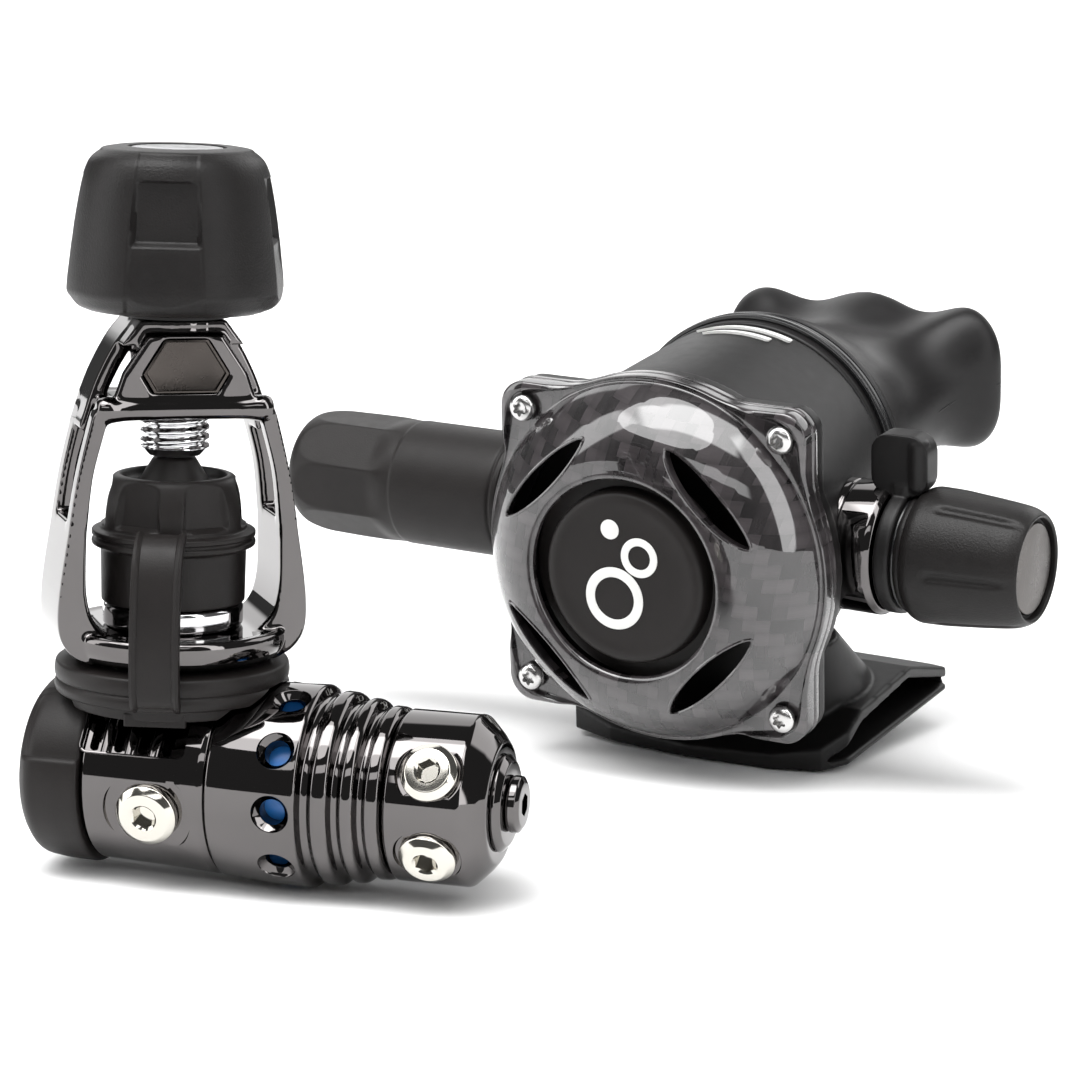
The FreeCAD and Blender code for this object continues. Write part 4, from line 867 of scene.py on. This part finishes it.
def front_cover():
    dome_edge = 43.5

    def shape(angle, radius, height):
        """Outside the dome, the flange reaches out to the ears; each ear has a sunk flat and a raised rim."""
        if radius <= dome_edge:
            return radius, height
        outer = cover_outline(angle)
        part = (radius - dome_edge) / (COVER_RADIUS - dome_edge)
        ear = smooth_step(0.5, 4.0, outer - COVER_RADIUS)
        raised = smooth_step(0.62, 0.80, part) * ear if height < 1 else 0
        return dome_edge + part * (outer - dome_edge), height - 1.5 * raised

    bm = turned(DOME + [
        (dome_edge, -1.0, 0.2), (43.9, -0.7, 0.2), (44.35, -0.7, 0.1), (44.5, -0.75, 0.1), (44.7, -0.8, 0.1),
        (45.0, -0.2, 0.5), (45.0, 2.2, 0.3), (44.8, 2.6, 0.3), (45.0, 3.0, 0.3), (45.0, 5.0, 0.4),
        (41.4, 5.0), (41.4, -1.2), (37.4, -8.2, 2), (32.8, -12.0, 2), (28.4, -13.9, 1), (24.0, -14.6, 0.5),
    ], rounding=0.3, segments=480, shape=shape, longest=1.6)
    slot = lens(15.2, 3.1)
    cuts = []
    lips = []
    for angle in (45, 135, 225, 315):
        turn = about("Z", angle) @ at(30.4, 0, 0) @ about("Z", 90)
        cuts.append(placed(prism(slot, -30, 4), turn))
        line = [turn @ Vector((x, y, 0)) for x, y in slot]
        for point in line:
            point.z = dome_height(math.hypot(point.x, point.y)) + 0.12
        lips.append(tube(line, 0.42))
    seat = turned([(0, -4), (3.7, -4), (3.7, -1.5), (2, -1.5), (2, 8), (0, 8)], rounding=0.05, segments=40)
    bm = combine(bm, joined(*cuts), copies(seat, SCREW_PLACES))
    piece("carbon_cover", joined(bm, *lips), COVER, node="front_cover", sharp=38)


def cover_screws():
    head = turned([(0, -1.5), (3.35, -1.5), (3.4, -2.2, 0.3), (3.0, -3.2, 0.6), (1.9, -3.75, 0.4), (0, -3.8)],
                  rounding=0.2, segments=64)
    star = prism(polygon(60, 1.55, 0, 0.3), -5, -2.3)
    shank = turned([(0, -1.6), (1.9, -1.6), (1.9, 8), (1.2, 8.6), (0, 8.6)], rounding=0.2, segments=32)
    screw = joined(combine(head, star), shank)
    piece("torx_screws", copies(screw, SCREW_PLACES), COVER, node="cover_screws")


def purge_button():
    bm = turned([
        (0, -15.45), (16.0, -15.6, 5), (18.6, -16.0, 1.6), (20.4, -15.6, 1.2), (21.0, -14.2, 1.0),
        (21.1, -11.2), (25.4, -11.2), (25.4, -9.8), (4, -9.8), (4, -0.3), (0, -0.3),
    ], rounding=0.3, segments=180, longest=2.5)
    piece("purge_pad", bm, COVER, node="purge_button")


def purge_emblem():
    """Three rising bubbles, set into the pad."""
    parts = []
    for up, right, outer, inner in ((-5.2, -2.6, 7.6, 5.2), (5.6, 4.2, 4.8, 2.9), (11.6, -3.4, 2.4, 0)):
        section = [(inner, -15.3), (outer, -15.3), (outer, -15.72), (inner, -15.72)]
        parts.append(placed(turned(section, rounding=0.12, segments=72), at(up, right, 0)))
    piece("bubble_emblem", joined(*parts), COVER, node="purge_emblem", finish="white_plastic")


def case():
    piece("case_moulding", soften(cad_mesh("case", SECOND), 0.6, 4), SECOND, node="case", sharp=50)


def exhaust_tee():
    bm = soften(cad_mesh("exhaust_tee", SECOND), 0.5, 4)
    piece("exhaust_tee_moulding", bm, SECOND, node="exhaust_tee", sharp=50)


def trim_collar():
    bm = turned([
        (11.6, 37.2), (15.6, 37.2), (15.8, 37.8), (15.8, 40), (15.55, 40.3), (15.55, 40.9), (15.8, 41.2),
        (15.8, 48.9, 0.4), (14.9, 50.2, 0.4), (11.6, 50.3),
    ], rounding=0.2, segments=180)
    drum = placed(drum_of_case(), VALVE.inverted() @ SECOND)
    piece("trim_collar_ring", combine(bm, drum), VALVE, node="trim_collar", finish="smoke_chrome", sharp=35)


def drum(depth):
    """Radius of the case's drum at a depth behind the cover, and how far its middle has risen there."""
    part = (depth - 9.4) / 40.6
    return 43 - 6 * part, 8.5 * part


def drum_of_case():
    """The case behind its front plate, a hair larger, to trim what meets it."""
    return lofted([
        [(radius * x, y, rise + radius * z) for x, z in polygon(180, 1.0)]
        for y, radius, rise in ((9.4, 43.1, 0), (50.1, 37.1, 8.5))
    ])


def venturi_lever():
    hoop = turned([
        (10.1, 50.7), (14.4, 50.7), (14.8, 51.3), (14.8, 54.1), (14.4, 54.7), (10.1, 54.7),
    ], rounding=0.3, segments=120)
    paddle = placed(prism(rounded_box(7.2, 7.4, 4.6), -3.2, 3.2), at(0, 21.6, 52.4) @ about("Y", 90))
    neck = placed(prism(rounded_box(3.6, 2.0, 0.8), 10.5, 17), at(0, 0, 52.7) @ about("X", -90))
    rib = placed(rod(2.6, -6.2, 6.2, 1.2, 32), at(-1.2, 21.6, 56.6) @ about("X", 90))
    bm = soften(joined(hoop, paddle, neck, rib), 0.35, 5)
    piece("venturi_paddle", bm, VALVE, node="venturi_lever", sharp=60)


def adjust_knob():
    flutes = 6

    def shape(angle, radius, height):
        if radius < 12.8:
            return radius, height
        phase = abs((angle * flutes / (2 * math.pi)) % 1 - 0.5) * 2
        crease = smooth_step(0.80, 0.97, phase) * smooth_step(63, 66, height) * smooth_step(86.5, 79, height)
        flat = 0.5 * (1 - phase * phase) * smooth_step(62, 70, height)
        return radius - 0.75 * crease - 0.25 * flat, height

    bm = turned([
        (3.4, 55.6), (13.9, 55.6), (14.4, 56.4, 0.4), (14.4, 57.3, 0.2), (15.4, 57.9, 0.4),
        (16.2, 59.6, 1.0), (16.1, 66, 2), (15.4, 74, 3), (14.7, 80.5, 2), (14.2, 83.4, 1.0),
        (13.2, 85.5, 0.8), (12.5, 86.0, 0.3), (11.9, 85.6, 0.2), (11.9, 83.8), (3.4, 83.8),
    ], rounding=0.35, segments=240, shape=shape, longest=0.8)
    piece("adjusting_grip", bm, VALVE, node="adjust_knob", finish="grip_rubber", sharp=50)
    disc = turned([
        (0, 84.9), (10.6, 84.9), (10.9, 84.5), (11.0, 83.9), (0, 83.9),
    ], rounding=0.15, segments=96)
    piece("adjusting_disc", disc, VALVE, node="adjust_knob_disc", finish="graphite_plating")
    seal = turned([
        (10.2, 55.62), (13.6, 55.62), (13.8, 55.2), (13.6, 54.75), (10.2, 54.75),
    ], rounding=0.2, segments=120)
    piece("adjusting_seal", seal, VALVE, node="adjust_knob", finish="gloss_black", replaces=False)


def hose_sleeve():
    def shape(angle, radius, height):
        """Eight flats on the free end, which fade into the round part."""
        if radius < 9:
            return radius, height
        off = (angle + math.pi / 8) % (math.pi / 4) - math.pi / 8
        return mix(radius, min(radius, 14.6 / math.cos(off)), smooth_step(-83, -89.5, height)), height

    bm = turned([
        (5.6, -114.5), (11.6, -114.5, 1.5), (14.4, -112.2, 2), (15.6, -107, 3), (15.9, -90, 3),
        (15.5, -84, 1.5), (15.5, -82, 0.4), (15.7, -81.4, 0.4), (15.7, -53.4, 0.6), (15.2, -52.8, 0.3),
        (15.7, -52.2, 0.3), (15.5, -50.8, 0.4), (12.6, -50.6), (12.6, -84), (5.6, -84),
    ], rounding=0.4, segments=240, shape=shape, longest=1.0)
    piece("hose_end_sleeve", bm, VALVE, node="hose_sleeve", sharp=50)


def mouthpiece():
    """A round neck that flattens into the mouth tube, and a wavy lip shield with two bite tabs."""
    shield_aside = 6

    def ring(y, half_x, half_z, rise, power=2.0, wave=0.0, sweep=0.0):
        """A superellipse; a wave ripples its edges, and a sweep pulls its ends forward."""
        aside = shield_aside * smooth_step(66, 101, y)
        points = []
        for c, s in polygon(160, 1.0):
            x = half_x * math.copysign(abs(c) ** (2 / power), c)
            z = half_z * math.copysign(abs(s) ** (2 / power), s)
            part = x / half_x
            z *= 1 + wave * (0.11 * math.cos(2 * math.pi * part * 1.22) + 0.11 * part * part)
            points.append((x + aside, y - sweep * part * part, rise + z))
        return points

    # from the neck's lip out to the shield, round its edge, and back down the airway
    stations = (
        (50.3, 35.2, 35.2, 10), (50.5, 36.0, 36.0, 10), (53.0, 36.1, 36.1, 10), (57.5, 36.1, 36.1, 10),
        (59.2, 36.6, 36.6, 10), (60.6, 36.2, 36.2, 10.2), (61.0, 35.4, 35.4, 10.4),
        (62.0, 35.4, 35.2, 10.6), (66, 35.0, 32.6, 12), (72, 33.4, 27.4, 14.0), (79, 32.0, 22.4, 16.4),
        (86, 31.4, 18.6, 18.5, 2.3, 0.1, 0.5), (92, 32.0, 16.6, 20.2, 2.6, 0.35, 1.2),
        (97, 34.0, 16.2, 21.6, 3.0, 0.7, 2.0), (101, 36.4, 16.8, 22.3, 3.4, 1.0, 3.0),
        (104.2, 37.9, 17.3, 22.5, 3.6, 1.1, 3.6), (106.0, 38.4, 17.6, 22.5, 3.6, 1.1, 3.8),
        (107.0, 38.3, 17.5, 22.5, 3.6, 1.1, 3.8), (107.5, 37.6, 17.1, 22.5, 3.6, 1.1, 3.7),
        (106.8, 33.0, 15.2, 22.6, 3.0, 0.8, 3.0), (106.8, 26, 12.4, 23.0, 2.4, 0.3, 1.6),
        (107.2, 21, 10.0, 23.2, 2.1, 0, 0.5), (106.8, 19, 8.7, 23.2), (100, 19.6, 9.2, 22.4),
        (80, 26, 15, 17.5), (66, 29.5, 26, 12), (59.6, 30.5, 30.5, 10), (59.3, 33.1, 33.1, 10),
        (50.3, 33.1, 33.1, 10),
    )
    thing = stand_in(lofted([ring(*station) for station in stations], True), "mouth")
    thing.modifiers.new("curve", "SUBSURF").levels = 1
    tube_and_shield = evaluated(thing)
    tabs = []
    seams = []
    for side in (-1, 1):
        stem = prism(rounded_box(4.6, 2.2, 1.6), 104.5, 121)
        pad = prism(rounded_box(4.8, 4.4, 1.8), 118, 121.3)
        tabs.append(placed(joined(stem, pad), at(shield_aside + side * 25, 0, 23) @ about("X", -90)))
        seam = [Vector((middle + side * half, y, z)) for middle, half, y, z in (
            (1.2, 32.0, 80, 16.8), (5.0, 32.0, 91, 20.2), (5.9, 35.6, 98, 22.1), (6, 38.2, 101.8, 22.6),
        )]
        seams.append(tube(smooth_line(seam, 6), 0.35, closed=False))
    bm = joined(tube_and_shield, soften(joined(*tabs), 0.5, 6), *seams)
    piece("mouthpiece_moulding", bm, SECOND, node="mouthpiece", sharp=60)


def mouthpiece_clamp():
    bm = turned([
        (36.2, 53), (37.0, 53.1), (37.2, 53.7), (36.9, 54.4), (36.9, 54.9), (37.2, 55.2), (37.2, 55.8),
        (36.9, 56.1), (36.9, 56.6), (37.1, 57.2), (36.2, 57.4),
    ], rounding=0.15, segments=200)
    to_mouth = SECOND @ at(0, 0, 10) @ about("X", -90)
    piece("mouthpiece_tie", bm, to_mouth, node="mouthpiece_clamp", finish="gloss_black")


def caption_plate():
    """Two plain raised bars on the case's top, where a maker would put a caption."""
    bend_radius = 37.6
    bars = []
    for y, half in ((47.5, 13), (43.5, 9)):
        bm = prism(rounded_box(half, 1.3, 0.8), -0.3, 0.35)
        bmesh.ops.triangulate(bm, faces=bm.faces)
        for station in range(int(-half) + 1, int(half)):
            whole = bm.verts[:] + bm.edges[:] + bm.faces[:]
            bmesh.ops.bisect_plane(bm, geom=whole, plane_co=(station, 0, 0), plane_no=(1, 0, 0))
        for vertex in bm.verts:
            turn = vertex.co.x / bend_radius
            radius = drum(y + vertex.co.y)[0] + vertex.co.z
            vertex.co = (radius * math.sin(turn), y + vertex.co.y, drum(y)[1] + radius * math.cos(turn))
        bars.append(bm)
    bm = joined(*bars)
    bmesh.ops.recalc_face_normals(bm, faces=bm.faces)
    piece("case_top_bars", bm, SECOND, body="second_stage", slot="white_plastic")


# ------------------------ making
for make in (
    first_stage_body, body_protector, piston_cap, swivel_turret, gauge_plug, end_fitting, yoke, badge, knob,
    knob_disc, dust_cap, strap, yoke_screw, inlet_fitting, front_cover, cover_screws, purge_button,
    purge_emblem, case, exhaust_tee, trim_collar, venturi_lever, adjust_knob, hose_sleeve, mouthpiece,
    mouthpiece_clamp, caption_plate,
):
    make()


# ------------------------ stage
def studio():
    half = 20.0
    floor = bpy.data.meshes.new("floor")
    corners = [(-half, -half, 0), (half, -half, 0), (half, half, 0), (-half, half, 0)]
    floor.from_pydata(corners, [], [(0, 1, 2, 3)])
    ground = bpy.data.objects.new("floor", floor)
    bpy.context.scene.collection.objects.link(ground)
    n = Nodes(bpy.data.materials.new("pale_floor"))
    n.look(Base_Color=(0.90, 0.90, 0.90, 1), Roughness=0.7, Specular_IOR_Level=0.1)
    floor.materials.append(n.owner)

    bpy.context.scene.world = soft_boxes()
    bpy.context.scene.view_settings.view_transform = "Standard"

    sun = bpy.data.lights.new("key", "SUN")
    sun.energy = 2.5
    sun.angle = math.radians(50)
    lamp = bpy.data.objects.new("key", sun)
    lamp.rotation_euler = Vector((-0.25, -0.35, 1.0)).to_track_quat("Z", "Y").to_euler()
    bpy.context.scene.collection.objects.link(lamp)


def soft_boxes():
    """A dim room with soft bright panels overhead and at the sides."""
    n = Nodes(bpy.data.worlds.new("studio"), "Background")
    direction = n.add("TexCoord").outputs["Generated"]

    def along(axis):
        node = n.add("VectorMath", i0=direction, i1=axis)
        node.operation = "DOT_PRODUCT"
        return node.outputs["Value"]

    def edge(value, half):
        """1 inside the panel's half size, and a soft fall to 0 across its edge."""
        node = n.add("MapRange", Value=n.math("ABSOLUTE", value), From_Min=half * 1.12, From_Max=half * 0.88)
        node.interpolation_type = "SMOOTHSTEP"
        return node.outputs[0]

    total = 0.10
    # azimuth 0 is towards -Y and grows towards +X; then elevation, half width, half height and strength
    for azimuth, elevation, half_wide, half_high, strength in (
        (0, 76, 0.50, 0.24, 5.0), (-72, 24, 0.20, 0.62, 3.6), (66, 28, 0.12, 0.75, 4.4),
        (150, 32, 0.5, 0.25, 2.4), (-150, 30, 0.3, 0.4, 1.6), (8, 34, 0.5, 0.08, 2.6),
    ):
        turn, rise = math.radians(azimuth), math.radians(elevation)
        middle = Vector((math.sin(turn) * math.cos(rise), -math.cos(turn) * math.cos(rise), math.sin(rise)))
        side = Vector((math.cos(turn), math.sin(turn), 0))
        ahead = along(middle)
        near = n.math("MAXIMUM", ahead, 0.01)
        wide = edge(n.math("DIVIDE", along(side), near), half_wide)
        high = edge(n.math("DIVIDE", along(middle.cross(side)), near), half_high)
        lit = n.math("MULTIPLY", n.math("MULTIPLY", wide, high), n.math("GREATER_THAN", ahead, 0.05))
        total = n.math("ADD", total, n.math("MULTIPLY", lit, strength))
    n.look(Color=(1, 1, 1, 1), Strength=total)
    return n.owner


def camera():
    """0.7 m in front of the first stage and 0.2 m up, turned and tipped towards the set."""
    eye = first_origin + Vector((0.25044, -0.6581, 0.197018))
    heading, pitch, roll = math.radians(14.619), math.radians(10.024), math.radians(1.654)
    right = Vector((math.cos(heading), math.sin(heading), 0))
    level = Vector((-math.sin(heading), math.cos(heading), 0))
    forward = level * math.cos(pitch) - ROW_Z * math.sin(pitch)
    up = right.cross(forward)
    data = bpy.data.cameras.new("camera")
    data.sensor_width = 36
    data.lens = 113.86
    data.clip_start, data.clip_end = 0.01, 100
    view = bpy.data.objects.new("camera", data)
    rolled_right = right * math.cos(roll) + up * math.sin(roll)
    rolled_up = up * math.cos(roll) - right * math.sin(roll)
    turn = Matrix((rolled_right, rolled_up, -forward)).transposed().to_4x4()
    view.matrix_world = Matrix.Translation(eye) @ turn
    bpy.context.scene.collection.objects.link(view)
    bpy.context.scene.camera = view


studio()
camera()
